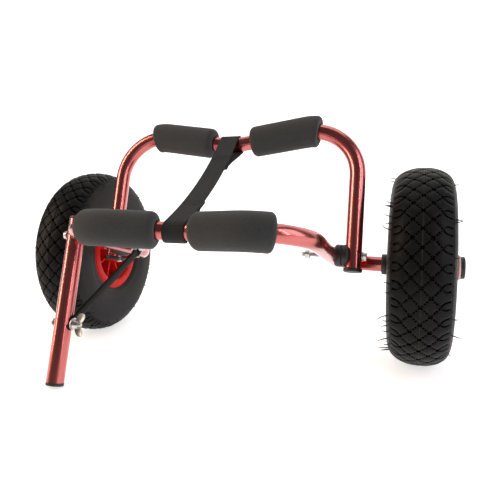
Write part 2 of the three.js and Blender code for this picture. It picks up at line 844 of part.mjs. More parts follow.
const halfTyre = tyreWidth / 2;
const treadRows = treadRowShares.map(([up, out]) => tyreSection(up, out));
const treadEdge = treadRows.length - 1;
const treadPlaces = [0];
for (let i = 1; i <= treadEdge; i += 1) {
  treadPlaces.push(treadPlaces[i - 1] + treadRows[i].distanceTo(treadRows[i - 1]));
}
const treadPitch = (2 * Math.PI * wheelRadius) / treadPitchCount;
const tyreMiddle = new THREE.Vector2((beadSeatRadius + cavityTop) / 2, 0);

// A place on the tyre's half section: its radius and its place across.
function tyreSection(up, out) {
  return new THREE.Vector2(beadSeatRadius + tyreHeight * up, halfTyre * out);
}

function tyrePoint(section, pitches) {
  const angle = (2 * Math.PI * pitches) / treadPitchCount;
  return new THREE.Vector3(section.y, -section.x * Math.sin(angle), section.x * Math.cos(angle));
}

// An unrolled place on the tread, sunk by a depth towards the tyre's middle.
function treadPoint(place, depth) {
  const across = Math.abs(place.y);
  let row = 1;
  while (row < treadEdge && across > treadPlaces[row]) row += 1;
  const share = (across - treadPlaces[row - 1]) / (treadPlaces[row] - treadPlaces[row - 1]);
  const section = treadRows[row - 1].clone().lerp(treadRows[row], share);
  section.add(tyreMiddle.clone().sub(section).setLength(depth));
  section.y *= Math.sign(place.y);
  return tyrePoint(section, place.x / treadPitch);
}

// A block's corners, given as [pitches round, row across], and those of its top,
// which keeps half a groove's width from every edge but one on the tread's last row.
function blockOutline(corners) {
  const open = corners.map(([, row]) => row === treadEdge);
  const foot = corners.map(([pitches, row]) => {
    return new THREE.Vector2(pitches * treadPitch, Math.sign(row) * treadPlaces[Math.abs(row)]);
  });
  const after = (i) => (i + 1) % corners.length;
  const edges = foot.map((from, i) => {
    const way = foot[after(i)].clone().sub(from).normalize();
    const inset = open[i] && open[after(i)] ? 0 : treadGrooveWidth / 2;
    return { from: new THREE.Vector2(from.x - way.y * inset, from.y + way.x * inset), way };
  });
  const top = edges.map((edge, i) => {
    const next = edges[after(i)];
    const along = next.from.clone().sub(edge.from).cross(next.way) / edge.way.cross(next.way);
    return edge.from.clone().addScaledVector(edge.way, along);
  });
  top.unshift(top.pop());
  return { foot, top, open };
}

// The triangles of one raised block, with its slopes down into the grooves.
function treadBlock(corners) {
  const { foot, top, open } = blockOutline(corners);
  const outer = foot.map((place, i) => treadPoint(place, open[i] ? 0 : treadGrooveDepth));
  const inner = top.map((place) => treadPoint(place, 0));
  const centre = new THREE.Vector2();
  for (const place of top) centre.addScaledVector(place, 1 / top.length);
  const peak = treadPoint(centre, 0);
  const triangles = [];
  for (let i = 0; i < outer.length; i += 1) {
    const next = (i + 1) % outer.length;
    triangles.push(inner[i], inner[next], peak);
    if (open[i] && open[next]) continue;
    triangles.push(outer[i], outer[next], inner[next], outer[i], inner[next], inner[i]);
  }
  return triangles;
}

// One side of the tyre over one pitch: tread blocks, the band beside them, the side.
function tyreSide(pitch, sideRows) {
  const reach = shoulderGrooveShare;
  const wide = [[0.5, 1], [1, 2], [1 - reach, 3], [reach, 3], [0, 2]];
  const slim = [[0, 2], [reach, 3], [-reach, 3]];
  const diamond = [[0, 0], [0.5, 1], [0, 2], [-0.5, 1]];
  const moved = (corners) => corners.map(([pitches, row]) => [pitches + pitch, row]);
  const triangles = [diamond, wide, slim].flatMap((corners) => treadBlock(moved(corners)));
  const wideBlock = blockOutline(moved(wide));
  const slimBlock = blockOutline(moved(slim));
  const edge = [
    slimBlock.foot[2],
    slimBlock.top[2],
    slimBlock.top[1],
    slimBlock.foot[1],
    wideBlock.top[3],
    wideBlock.top[2],
    wideBlock.foot[2],
  ];
  const wideStart = edge.indexOf(wideBlock.top[3]);
  const places = edge.map((place) => treadPoint(place, 0));
  const here = sideRows.map((section) => tyrePoint(section, pitch));
  const there = sideRows.map((section) => tyrePoint(section, pitch + 1));
  for (let i = 0; i < places.length - 1; i += 1) {
    triangles.push(places[i], places[i + 1], i < wideStart ? here[0] : there[0]);
  }
  triangles.push(places[wideStart], there[0], here[0]);
  for (let i = 1; i < sideRows.length; i += 1) {
    triangles.push(here[i - 1], there[i - 1], there[i], here[i - 1], there[i], here[i]);
  }
  const axis = new THREE.Vector3(here.at(-1).x, 0, 0);
  triangles.push(here.at(-1), there.at(-1), axis);
  return triangles;
}

// The tyre's outside, closed across the beads.
function tyreSkin(beadX) {
  const flat = 1 / Math.cos(Math.PI / treadPitchCount);
  const sections = tyreSideShares.map(([up, out]) => tyreSection(up, out));
  sections.push(new THREE.Vector2(rimFlangeRadius + seatGap, beadX));
  const sideRows = sections.map((section) => new THREE.Vector2(section.x * flat, section.y));
  const triangles = [];
  for (let pitch = 0; pitch < treadPitchCount; pitch += 1) {
    triangles.push(...treadBlock([[pitch, 0], [pitch + 0.5, -1], [pitch + 1, 0], [pitch + 0.5, 1]]));
    const side = tyreSide(pitch, sideRows);
    const mirrored = side.map((point) => new THREE.Vector3(-point.x, point.y, point.z)).reverse();
    triangles.push(...side, ...mirrored);
  }
  return new THREE.BufferGeometry().setFromPoints(triangles);
}

function tyre() {
  const beadX = rimHalfWidth - rimFlangeThickness - seatGap;
  const cavityX = halfTyre * cavityWidthShare;
  const cavityHeight = cavityTop - beadSeatRadius;
  const cavity = cavityShares.map(([up, out]) => [beadSeatRadius + cavityHeight * up, cavityX * out]);
  const right = [...cavity, [beadSeatRadius, halfTyre * beadToeShare], [beadSeatRadius, tyreWidth]];
  const left = right.slice(1).map(([radius, x]) => [radius, -x]);
  const profile = [...left.reverse(), ...right].map(([radius, x]) => [radius * wheelFacetStretch, x]);
  profile.unshift([0, -tyreWidth]);
  profile.push([0, tyreWidth]);
  return cut(tyreSkin(beadX), wheelTurned(profile));
}

function innerTubeSkin(inset, sides) {
  const centre = (beadSeatRadius + cavityTop) / 2;
  const high = ((cavityTop - beadSeatRadius) / 2) * innerTubeFillShare - inset;
  const wide = (tyreWidth / 2) * cavityWidthShare * innerTubeFillShare - inset;
  const profile = [];
  const rings = 8;
  for (let i = 0; i < rings; i += 1) {
    const angle = (2 * Math.PI * (i + 0.5)) / rings;
    profile.push([centre - high * Math.cos(angle), -wide * Math.sin(angle)]);
  }
  return wheelTurned(profile, sides);
}

// The valve leaves the tube towards the hub and bends outwards, between two ribs.

function valvePath() {
  const top = beadSeatRadius + innerTubeWall + 2 * seatGap;
  const corners = [
    new THREE.Vector3(valveOffset, 0, top),
    new THREE.Vector3(valveOffset, 0, top - valveDrop),
    new THREE.Vector3(valveOffset + valveReach, 0, top - valveDrop),
  ];
  return bentPath(corners, [valveBendRadius]);
}

function valveHole() {
  return rodAlongZ(clearBore(valveRadius), barrelBoreRadius - cutOverrun / 4, wheelRadius / 2)
    .translate(valveOffset, 0, 0);
}

function rim() {
  const webOuter = rimWebThickness / 2 - rimWebOffset;
  const webInner = -rimWebThickness / 2 - rimWebOffset;
  const flangeInside = rimHalfWidth - rimFlangeThickness;
  const bore = clearBore(bushingRadius);
  const profile = [
    [barrelBoreRadius, -rimHalfWidth],
    [rimFlangeRadius, -rimHalfWidth],
    [rimFlangeRadius, -flangeInside],
    [rimSeatRadius, -flangeInside],
    [rimSeatRadius, flangeInside],
    [rimFlangeRadius, flangeInside],
    [rimFlangeRadius, rimHalfWidth],
    [barrelBoreRadius, rimHalfWidth],
    [barrelBoreRadius, webOuter],
    [hubRadius, webOuter],
    [hubRadius, hubOuterReach],
    [bore, hubOuterReach],
    [bore, -hubInnerReach],
    [hubRadius, -hubInnerReach],
    [hubRadius, webInner],
    [barrelBoreRadius, webInner],
  ];
  const ribs = [];
  const ribInner = hubRadius - rimRibThickness / 2;
  const ribOuter = barrelBoreRadius + rimBarrelThickness / 2;
  for (let i = 0; i < rimRibCount; i += 1) {
    const rib = new THREE.BoxGeometry(2 * rimRibHalfWidth, rimRibThickness, ribOuter - ribInner);
    rib.translate(0, 0, (ribInner + ribOuter) / 2);
    rib.rotateX((2 * Math.PI * (i + 0.5)) / rimRibCount);
    ribs.push(rib);
  }
  return cut(joined(turnedAboutX(profile, rimSides), ...ribs), valveHole());
}

function bushing(hubEnd, outward) {
  const flangeX = hubEnd + outward * seatGap;
  const profile = [
    [clearBore(tubeRadius), flangeX - outward * bushingLength],
    [bushingRadius, flangeX - outward * bushingLength],
    [bushingRadius, flangeX],
    [bushingFlangeRadius, flangeX],
    [bushingFlangeRadius, flangeX + outward * bushingFlangeThickness],
    [clearBore(tubeRadius), flangeX + outward * bushingFlangeThickness],
  ];
  if (outward < 0) profile.reverse();
  return turnedAboutX(profile);
}

function wheel(side) {
  const label = sideName(side);
  const group = new THREE.Group();
  group.position.set(side * wheelX, 0, wheelRadius);
  group.rotation.z = side < 0 ? Math.PI : 0;
  const skin = innerTubeSkin(0, innerTubeSides);
  const hollow = innerTubeSkin(innerTubeWall, innerTubeSides);
  const path = valvePath();
  const end = path.getPointAt(1);
  const valveCap = rodAlongX(valveCapRadius, end.x + seatGap, end.x + seatGap + valveCapLength);
  valveCap.translate(0, 0, end.z);
  group.add(named(`tyre_${label}`, tyre(), tyreRubber));
  group.add(named(`inner_tube_${label}`, cut(skin, hollow, valveHole()), tubeRubber));
  group.add(named(`rim_${label}`, rim(), rimRed));
  group.add(named(`bushing_outer_${label}`, bushing(hubOuterReach, 1), nylon));
  group.add(named(`bushing_inner_${label}`, bushing(-hubInnerReach, -1), nylon));
  group.add(named(`valve_stem_${label}`, swept(path, 8, valveRadius, 0, 8), tubeRubber));
  group.add(named(`valve_cap_${label}`, valveCap, blackPlastic));
  return group;
}

// The whole cart, with its origin on the ground under the middle of its box.

function kayakCart() {
  const cart = new THREE.Group();
  cart.add(axleFrame(), wheel(-1), wheel(1));
  cart.updateMatrixWorld(true);
  const box = new THREE.Box3().setFromObject(cart, true);
  const middle = box.getCenter(new THREE.Vector3());
  cart.position.set(-middle.x, -middle.y, -box.min.z);
  return cart;
}

export default kayakCart();
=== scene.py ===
import math

import bpy
from mathutils import Matrix, Vector


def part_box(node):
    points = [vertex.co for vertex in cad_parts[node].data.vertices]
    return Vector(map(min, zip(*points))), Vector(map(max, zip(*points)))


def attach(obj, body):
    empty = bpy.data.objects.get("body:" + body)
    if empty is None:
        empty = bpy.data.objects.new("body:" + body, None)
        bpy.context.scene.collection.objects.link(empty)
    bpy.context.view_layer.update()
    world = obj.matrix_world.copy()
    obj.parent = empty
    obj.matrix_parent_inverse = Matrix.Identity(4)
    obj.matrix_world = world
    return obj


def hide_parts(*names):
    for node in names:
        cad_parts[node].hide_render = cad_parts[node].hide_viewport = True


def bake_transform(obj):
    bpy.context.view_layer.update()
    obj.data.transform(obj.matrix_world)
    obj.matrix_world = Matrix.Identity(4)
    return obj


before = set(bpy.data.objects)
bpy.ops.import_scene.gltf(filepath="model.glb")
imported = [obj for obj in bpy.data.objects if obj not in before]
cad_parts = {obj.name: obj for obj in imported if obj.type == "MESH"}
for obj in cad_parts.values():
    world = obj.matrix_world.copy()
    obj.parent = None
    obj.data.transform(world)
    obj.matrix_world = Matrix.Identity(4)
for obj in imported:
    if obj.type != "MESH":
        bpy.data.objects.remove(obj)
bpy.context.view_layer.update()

# A folding kayak cart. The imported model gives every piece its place, and this
# script gives each one its finished shape and material.

mm = 0.001
acrossX = Vector((1, 0, 0))
acrossY = Vector((0, 1, 0))


# Everyday steps

def deselectAll():
    if bpy.context.object and bpy.context.object.mode != "OBJECT":
        bpy.ops.object.mode_set(mode="OBJECT")
    bpy.ops.object.select_all(action="DESELECT")


def makeActive(piece):
    deselectAll()
    piece.select_set(True)
    bpy.context.view_layer.objects.active = piece


def editPiece(piece, selectAll=False, mode="VERT"):
    makeActive(piece)
    bpy.ops.object.mode_set(mode="EDIT")
    bpy.ops.mesh.select_mode(type=mode)
    bpy.ops.mesh.select_all(action="SELECT" if selectAll else "DESELECT")


def leaveEdit():
    bpy.ops.object.mode_set(mode="OBJECT")


# Opens a piece for editing with the faces or edges that pass a test selected.
def editPicked(piece, kind, test):
    editPiece(piece, mode=kind)
    leaveEdit()
    for part in piece.data.polygons if kind == "FACE" else piece.data.edges:
        part.select = test(part)
    bpy.ops.object.mode_set(mode="EDIT")


# A test for edges that rise further than a height in millimetres.
def risesOver(piece, height):
    def test(edge):
        low, high = (piece.data.vertices[i].co.z for i in edge.vertices)
        return abs(high - low) > height * mm
    return test


def started(name):
    piece = bpy.context.object
    piece.name = name
    piece.data.name = name
    return piece


def applyModifier(piece, kind, **settings):
    makeActive(piece)
    bpy.ops.object.modifier_add(type=kind)
    modifier = piece.modifiers[-1]
    for key, value in settings.items():
        setattr(modifier, key, value)
    bpy.ops.object.modifier_apply(modifier=modifier.name)


def bevelPiece(piece, width, segments=2, angle=35):
    applyModifier(piece, "BEVEL", width=width * mm, segments=segments,
                  limit_method="ANGLE", angle_limit=math.radians(angle))


def combine(piece, other, operation="UNION"):
    applyModifier(piece, "BOOLEAN", object=other, operation=operation, solver="EXACT")
    bpy.data.objects.remove(other)


def joinPieces(pieces):
    makeActive(pieces[0])
    for piece in pieces[1:]:
        piece.select_set(True)
    bpy.ops.object.join()
    return pieces[0]


def copyPiece(piece, name, matrix=None):
    copy = piece.copy()
    copy.data = piece.data.copy()
    copy.name = name
    copy.data.name = name
    bpy.context.scene.collection.objects.link(copy)
    if matrix is not None:
        placePiece(copy, matrix)
    return copy


# The place goes into the mesh, and the object stays at the origin.
def placePiece(piece, matrix):
    makeActive(piece)
    piece.matrix_world = matrix @ piece.matrix_world
    bpy.ops.object.transform_apply(location=True, rotation=True, scale=True)


def tidyMesh(piece, distance=0.004):
    editPiece(piece, selectAll=True)
    bpy.ops.mesh.remove_doubles(threshold=distance * mm)
    bpy.ops.mesh.normals_make_consistent(inside=False)
    leaveEdit()


# A piece stands for the CAD node of its name, unless it is an extra.
def finishPiece(piece, slot, body, angle=35, isExtra=False):
    makeActive(piece)
    bpy.ops.object.transform_apply(location=True, rotation=True, scale=True)
    bpy.ops.object.shade_smooth_by_angle(angle=math.radians(angle))
    piece.data.materials.clear()
    piece.data.materials.append(finishes[slot])
    node = piece.name.split(".")[0]
    piece.name = node + "_finished"
    piece.data.name = piece.name
    if body:
        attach(piece, body)
    if not isExtra:
        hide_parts(node)


# A chain of edges through points in millimetres, left open for editing, all selected.
def drawnChain(name, points):
    deselectAll()
    bpy.ops.mesh.primitive_plane_add(size=mm)
    piece = started(name)
    editPiece(piece, selectAll=True)
    bpy.ops.mesh.merge(type="CENTER")
    here = points[0] * mm
    bpy.ops.transform.translate(value=here)
    for point in points[1:]:
        there = point * mm
        bpy.ops.mesh.extrude_vertices_move(TRANSFORM_OT_translate={"value": there - here})
        here = there
    bpy.ops.mesh.select_all(action="SELECT")
    bpy.ops.mesh.remove_doubles(threshold=0.001 * mm)
    bpy.ops.mesh.select_all(action="SELECT")
    return piece


# A profile of (radius, place along X) points in millimetres, spun about X.
# A closed ring's profile ends at its first point.
def spunPiece(name, profile, steps=48):
    piece = drawnChain(name, [Vector((along, 0, radius)) for radius, along in profile])
    bpy.ops.mesh.spin(steps=steps, angle=2 * math.pi, center=(0, 0, 0), axis=(1, 0, 0))
    leaveEdit()
    tidyMesh(piece)
    return piece


# Cuts a round hole along X, from low to high.
def drill(piece, radius, low, high, place=None):
    hole = spunPiece("hole", [(0, low), (radius, low), (radius, high), (0, high)], steps=32)
    if place:
        placePiece(hole, place)
    combine(piece, hole, "DIFFERENCE")


# An open tube along Z, cut into rings, that remembers where each point was
# before it is bent, so that drawn lines run lengthwise.
def straightTube(name, radius, length, around=48, ringStep=4):
    deselectAll()
    bpy.ops.mesh.primitive_cylinder_add(vertices=around, radius=radius * mm, depth=length * mm,
                                        end_fill_type="NOTHING", location=(0, 0, length * mm / 2))
    piece = started(name)
    bpy.ops.object.transform_apply(location=True)
    editPicked(piece, "EDGE", risesOver(piece, length / 2))
    bpy.ops.mesh.subdivide(number_cuts=max(1, round(length / ringStep) - 1))
    leaveEdit()
    rememberStraight(piece)
    return piece


def rememberStraight(piece):
    straight = piece.data.attributes.new("straightened", "FLOAT_VECTOR", "POINT")
    for vertex in piece.data.vertices:
        straight.data[vertex.index].vector = vertex.co


# Paths in the XZ plane, of straight runs joined by round bends.

def roundedPath(corners, radii):
    points = [Vector((x, 0, z)) for x, z in corners]
    runs = []
    start = points[0]
    for i in range(1, len(points) - 1):
        into = (points[i] - points[i - 1]).normalized()
        out = (points[i + 1] - points[i]).normalized()
        turn = into.angle(out)
        setback = radii[i - 1] * math.tan(turn / 2)
        arcStart = points[i] - into * setback
        inward = (out - into * out.dot(into)).normalized()
        runs.append({"start": start, "way": into, "length": (arcStart - start).length, "radius": 0})
        runs.append({"start": arcStart, "way": into, "length": radii[i - 1] * turn,
                     "radius": radii[i - 1], "inward": inward})
        start = points[i] + out * setback
    last = points[-1] - start
    runs.append({"start": start, "way": last.normalized(), "length": last.length, "radius": 0})
    return runs


def pathLength(runs):
    return sum(run["length"] for run in runs)


def pointOn(runs, along):
    rest = along
    for run in runs[:-1]:
        if rest <= run["length"]:
            break
        rest -= run["length"]
    else:
        run = runs[-1]
    if not run["radius"]:
        return run["start"] + run["way"] * rest, run["way"]
    angle = rest / run["radius"]
    point = run["start"] + run["way"] * run["radius"] * math.sin(angle)
    point = point + run["inward"] * run["radius"] * (1 - math.cos(angle))
    return point, run["way"] * math.cos(angle) + run["inward"] * math.sin(angle)


def bendAlong(piece, runs, startLength=0):
    for vertex in piece.data.vertices:
        point, way = pointOn(runs, startLength + vertex.co.z / mm)
        inward = acrossY.cross(way)
        vertex.co = point * mm + inward * vertex.co.x + acrossY * vertex.co.y


# Where the frames stand

frames = {
    "tilt": 17.0,             # of the axle frame, from the ground
    "axleHalfWidth": 146.0,
    "axleReach": 262.0,
    "axleTubeEnd": 299.7,
    "axleBendRadius": 56.0,
    "cornerBendRadius": 62.0,
    "barDip": 26.5,
    "barDipRadius": 100.0,
    "cradleHalfWidth": 173.0,
    "cradleReach": 176.5,
    "cradleTail": 15.2,
    "cradleAngle": 91.8,
    "pivotReach": 79.0,
    "standX": -169.5,
    "standBoltReach": 177.4,
    "standAngle": 91.9,
    "braceDrop": 113.5,
    "tubeRadius": 10.25,
    "tubeWall": 1.5,
    "seatGap": 0.3,           # between pieces that are fitted together
}


def turnedX(degrees):
    return Matrix.Rotation(math.radians(degrees), 4, "X")


def movedBy(x, y, z):
    return Matrix.Translation(Vector((x, y, z)) * mm)


facingBack = Matrix.Rotation(math.pi, 4, "Z")
tyreLow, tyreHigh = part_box("tyre_right")
wheelMiddle = (tyreLow + tyreHigh) / 2
axleFrame = Matrix.Translation((0, wheelMiddle.y, wheelMiddle.z)) @ turnedX(90 - frames["tilt"])
pivot = axleFrame @ movedBy(0, 0, frames["pivotReach"])
cradle = pivot @ turnedX(-frames["cradleAngle"])
standBolt = axleFrame @ movedBy(0, 0, frames["standBoltReach"])
stand = axleFrame @ movedBy(frames["standX"], 0, frames["standBoltReach"]) @ turnedX(-frames["standAngle"])
brace = stand @ movedBy(0, 0, -frames["braceDrop"])
standTurn = math.radians(frames["standAngle"])
braceY = -frames["braceDrop"] * math.sin(standTurn)
braceZ = frames["standBoltReach"] - frames["pivotReach"] - frames["braceDrop"] * math.cos(standTurn)
stayLength = math.hypot(braceY, braceZ)
stay = pivot @ turnedX(math.degrees(math.atan2(-braceY, braceZ)))
wheelRight = Matrix.Translation(wheelMiddle)
wheelLeft = Matrix.Translation((-wheelMiddle.x, wheelMiddle.y, wheelMiddle.z)) @ facingBack


def barPath(tails, halfWidth, reach, tailRadii):
    left = [(-x, z) for x, z in tails]
    bar = [(-halfWidth, reach), (0, reach - frames["barDip"]), (halfWidth, reach)]
    right = [(x, z) for x, z in reversed(tails)]
    corner = frames["cornerBendRadius"]
    bends = tailRadii + [corner, frames["barDipRadius"], corner] + tailRadii
    return roundedPath(left + bar + right, bends)


axlePath = barPath([(frames["axleTubeEnd"], 0), (frames["axleHalfWidth"], 0)],
                   frames["axleHalfWidth"], frames["axleReach"], [frames["axleBendRadius"]])
cradlePath = barPath([(frames["cradleHalfWidth"], -frames["cradleTail"])],
                     frames["cradleHalfWidth"], frames["cradleReach"], [])
print("frame loaded, paths laid out")


# The camera stands where the photographer did, low and to the right.

view = {
    "place": (0.24401, -0.65306, 0.26871),
    "yaw": 21.16,
    "pitch": 8.21,
    "roll": -1.26,
    "lens": 36.70,
    "shiftX": 0.0602,
    "shiftY": -0.0224,
}


def setCamera():
    yaw, pitch, roll = (math.radians(view[key]) for key in ("yaw", "pitch", "roll"))
    ahead = Vector((-math.sin(yaw) * math.cos(pitch), math.cos(yaw) * math.cos(pitch), -math.sin(pitch)))
    right = Vector((math.cos(yaw), math.sin(yaw), 0))
    up = right.cross(ahead)
    rolledRight = right * math.cos(roll) + up * math.sin(roll)
    rolledUp = up * math.cos(roll) - right * math.sin(roll)
    deselectAll()
    bpy.ops.object.camera_add(location=view["place"])
    camera = bpy.context.object
    camera.name = "camera"
    turn = Matrix((rolledRight, rolledUp, -ahead)).transposed().to_4x4()
    camera.matrix_world = Matrix.Translation(view["place"]) @ turn
    camera.data.lens = view["lens"]
    camera.data.sensor_width = 36
    camera.data.shift_x = view["shiftX"]
    camera.data.shift_y = view["shiftY"]
    camera.data.clip_start = 0.02
    bpy.context.scene.camera = camera


setCamera()


# Materials

def hexToLinear(code):
    channels = [int(code[i:i + 2], 16) / 255 for i in (1, 3, 5)]
    return tuple(c / 12.92 if c <= 0.04045 else ((c + 0.055) / 1.055) ** 2.4 for c in channels) + (1.0,)


# Adds a node. Settings are the node's own options or its inputs, and links are
# the inputs that other nodes' outputs feed.
def addNode(tree, kind, settings=None, links=None):
    node = tree.nodes.new("ShaderNode" + kind)
    for key, value in (settings or {}).items():
        if isinstance(key, str) and hasattr(node, key):
            setattr(node, key, value)
        else:
            node.inputs[key].default_value = value
    for key, output in (links or {}).items():
        tree.links.new(output, node.inputs[key])
    return node


def startMaterial(name, settings):
    material = bpy.data.materials.new(name)
    material.use_nodes = True
    tree = material.node_tree
    tree.nodes.clear()
    shader = addNode(tree, "BsdfPrincipled", settings)
    addNode(tree, "OutputMaterial", None, {"Surface": shader.outputs[0]})
    return material, tree, shader


def feedShader(tree, shader, colour, rough=None, bump=None):
    for socket, output in (("Base Color", colour), ("Roughness", rough), ("Normal", bump)):
        if output is not None:
            tree.links.new(output, shader.inputs[socket])


# From one colour to another by a factor. The first is a hex code or another mix.
def mixed(tree, factor, low, high):
    mix = addNode(tree, "Mix", {"data_type": "RGBA", 7: hexToLinear(high)}, {0: factor})
    if isinstance(low, str):
        mix.inputs[6].default_value = hexToLinear(low)
    else:
        tree.links.new(low, mix.inputs[6])
    return mix.outputs[2]


# Noise whose clumps are size millimetres across.
def noise(tree, vector, size, detail, roughness=0.5):
    settings = {"Scale": 1 / (size * mm), "Detail": detail, "Roughness": roughness}
    return addNode(tree, "TexNoise", settings, {"Vector": vector}).outputs[0]


def ranged(tree, value, low, high, fromLow=0.0, fromHigh=1.0):
    limits = {"From Min": fromLow, "From Max": fromHigh, "To Min": low, "To Max": high}
    return addNode(tree, "MapRange", limits, {"Value": value}).outputs[0]


def bumped(tree, height, strength, depth):
    settings = {"Strength": strength, "Distance": depth * mm}
    return addNode(tree, "Bump", settings, {"Height": height}).outputs[0]


def calculated(tree, operation, *values):
    node = addNode(tree, "Math", {"operation": operation})
    for socket, value in zip(node.inputs, values):
        if isinstance(value, float):
            socket.default_value = value
        else:
            tree.links.new(value, socket)
    return node.outputs[0]


def attribute(tree, name, output="Vector"):
    return addNode(tree, "Attribute", {"attribute_name": name}).outputs[output]


# Brushed aluminium, dyed copper rose and sealed: a satin metal with faint
# lengthwise draw lines and a slightly uneven dye.
def anodisedAluminium():
    material, tree, shader = startMaterial("anodised_aluminium", {
        "Metallic": 1.0, "Roughness": 0.25, "Coat Weight": 0.5, "Coat Roughness": 0.12, "Coat IOR": 1.5})
    straight = attribute(tree, "straightened")
    # Per metre: lines 0.7 mm apart and 70 mm long, clouds in the dye 17 by 40 mm.
    drawn, dye = (addNode(tree, "Mapping", {"Scale": scale}, {"Vector": straight}).outputs[0]
                  for scale in ((1400, 1400, 14), (60, 60, 25)))
    lines = addNode(tree, "TexNoise", {"Scale": 1.0, "Detail": 3.0}, {"Vector": drawn}).outputs[0]
    cloud = addNode(tree, "TexNoise", {"Scale": 1.0, "Detail": 2.0}, {"Vector": dye}).outputs[0]
    feedShader(tree, shader, mixed(tree, cloud, "#BE6260", "#CA6E6B"), ranged(tree, lines, 0.2, 0.3),
               bumped(tree, lines, 0.03, 0.05))
    return material


# Closed-cell foam with a skin: matt charcoal, fine cells with painted shade in their pits, a faint dusty
# bloom.
def closedCellFoam():
    material, tree, shader = startMaterial("closed_cell_foam", {
        "Roughness": 0.88, "IOR": 1.45, "Specular IOR Level": 0.3,
        "Sheen Weight": 0.12, "Sheen Roughness": 0.6})
    straight = attribute(tree, "straightened")
    # The cells are 0.4 mm across, drawn at 1.1 mm so that they show.
    cells = addNode(tree, "TexVoronoi", {"Scale": 1 / (1.1 * mm)}, {"Vector": straight}).outputs["Distance"]
    base = mixed(tree, noise(tree, straight, 14, 4.0), "#222425", "#2F3132")
    # The cells' pits are painted darker and their raised rims paler: painted shade in the pits.
    cellPitShade = ranged(tree, cells, 0.0, 0.6, fromHigh=0.6)
    feedShader(tree, shader, mixed(tree, cellPitShade, base, "#3C3E3F"), bump=bumped(tree, cells, 0.6, 0.4))
    return material


# Woven nylon webbing with a soft sheen and painted shade in the weave's dips: ribs across
# every 1.6 mm, warp ends every 1.3 mm. Its attribute is in millimetres, across and along the webbing.
def nylonWebbing():
    material, tree, shader = startMaterial("nylon_webbing", {
        "Roughness": 0.75, "IOR": 1.53, "Specular IOR Level": 0.25,
        "Sheen Weight": 0.06, "Sheen Roughness": 0.5})
    woven = attribute(tree, "woven")
    parts = addNode(tree, "SeparateXYZ", None, {"Vector": woven})
    ribs, ends = (
        calculated(tree, "SINE", calculated(tree, "MULTIPLY", parts.outputs[axis], 2 * math.pi / size))
        for axis, size in ((1, 1.6), (0, 1.3)))
    height = calculated(tree, "MULTIPLY_ADD", calculated(tree, "MULTIPLY", ribs, ends), 0.5, ribs)
    fuzz = addNode(tree, "TexNoise", {"Scale": 0.35, "Detail": 5.0}, {"Vector": woven}).outputs[0]
    # The weave's high points are painted paler and its dips darker, broken up by fuzz: painted shade in the
    # weave.
    weaveShade = calculated(tree, "MULTIPLY", ranged(tree, height, 0.0, 1.0, -1.5, 1.5), fuzz)
    feedShader(tree, shader, mixed(tree, weaveShade, "#151719", "#2F3234"), bump=bumped(tree, height, 0.5, 0.35))
    return material


# Moulded tyre rubber: half matt, with painted shade darkening the tread's cuts, and a
# fine paler line of painted sheen along the ridge where the mould parts.
def mouldedRubber():
    material, tree, shader = startMaterial("moulded_tyre_rubber", {
        "Roughness": 0.45, "IOR": 1.5, "Specular IOR Level": 0.07})
    place = addNode(tree, "TexCoord").outputs["Object"]
    cloud = noise(tree, place, 18, 5.0, 0.6)
    offMiddle = calculated(tree, "ABSOLUTE", attribute(tree, "across", "Fac"))
    # The paler line along the ridge where the mould parts is painted sheen.
    partingSheen = ranged(tree, offMiddle, 0.5, 0.0, 0.1, 0.35)
    lined = mixed(tree, partingSheen, mixed(tree, cloud, "#141414", "#1D1D1D"), "#363636")
    # Faces down in the tread's cuts are coloured near black: painted shade.
    feedShader(tree, shader, mixed(tree, attribute(tree, "groove", "Fac"), lined, "#070707"),
               ranged(tree, cloud, 0.36, 0.52), bumped(tree, noise(tree, place, 1.2, 3.0), 0.2, 0.12))
    return material


# Seamless studio paper, white and matt, with a painted glow: it gives off light of its own.
def studioPaper():
    material, tree, shader = startMaterial("white_studio_paper", {
        "Roughness": 0.9, "IOR": 1.4, "Specular IOR Level": 0.2, "Emission Color": (1, 1, 1, 1)})
    place = addNode(tree, "TexCoord").outputs["Object"]
    # Its painted glow fades out towards the front, from 0.25 m to 0.8 m before the cart.
    parts = addNode(tree, "SeparateXYZ", None, {"Vector": place})
    glow = ranged(tree, parts.outputs[1], 0.0, 0.62, -0.8, -0.25)
    tree.links.new(glow, shader.inputs["Emission Strength"])
    feedShader(tree, shader, mixed(tree, noise(tree, place, 25, 4.0), "#F2F2F2", "#F6F6F6"))
    return material


# An even material. Clouds colour it, and a grain gives its roughness and bump:
# both are (millimetres across, detail), and a bump is (strength, depth in millimetres).
def evenMaterial(name, settings, clouds, colours, grain, rough, bump=None):
    material, tree, shader = startMaterial(name, settings)
    place = addNode(tree, "TexCoord").outputs["Object"]
    fine = noise(tree, place, *grain)
    feedShader(tree, shader, mixed(tree, noise(tree, place, *clouds), *colours), ranged(tree, fine, *rough),
               bumped(tree, fine, *bump) if bump else None)
    return material


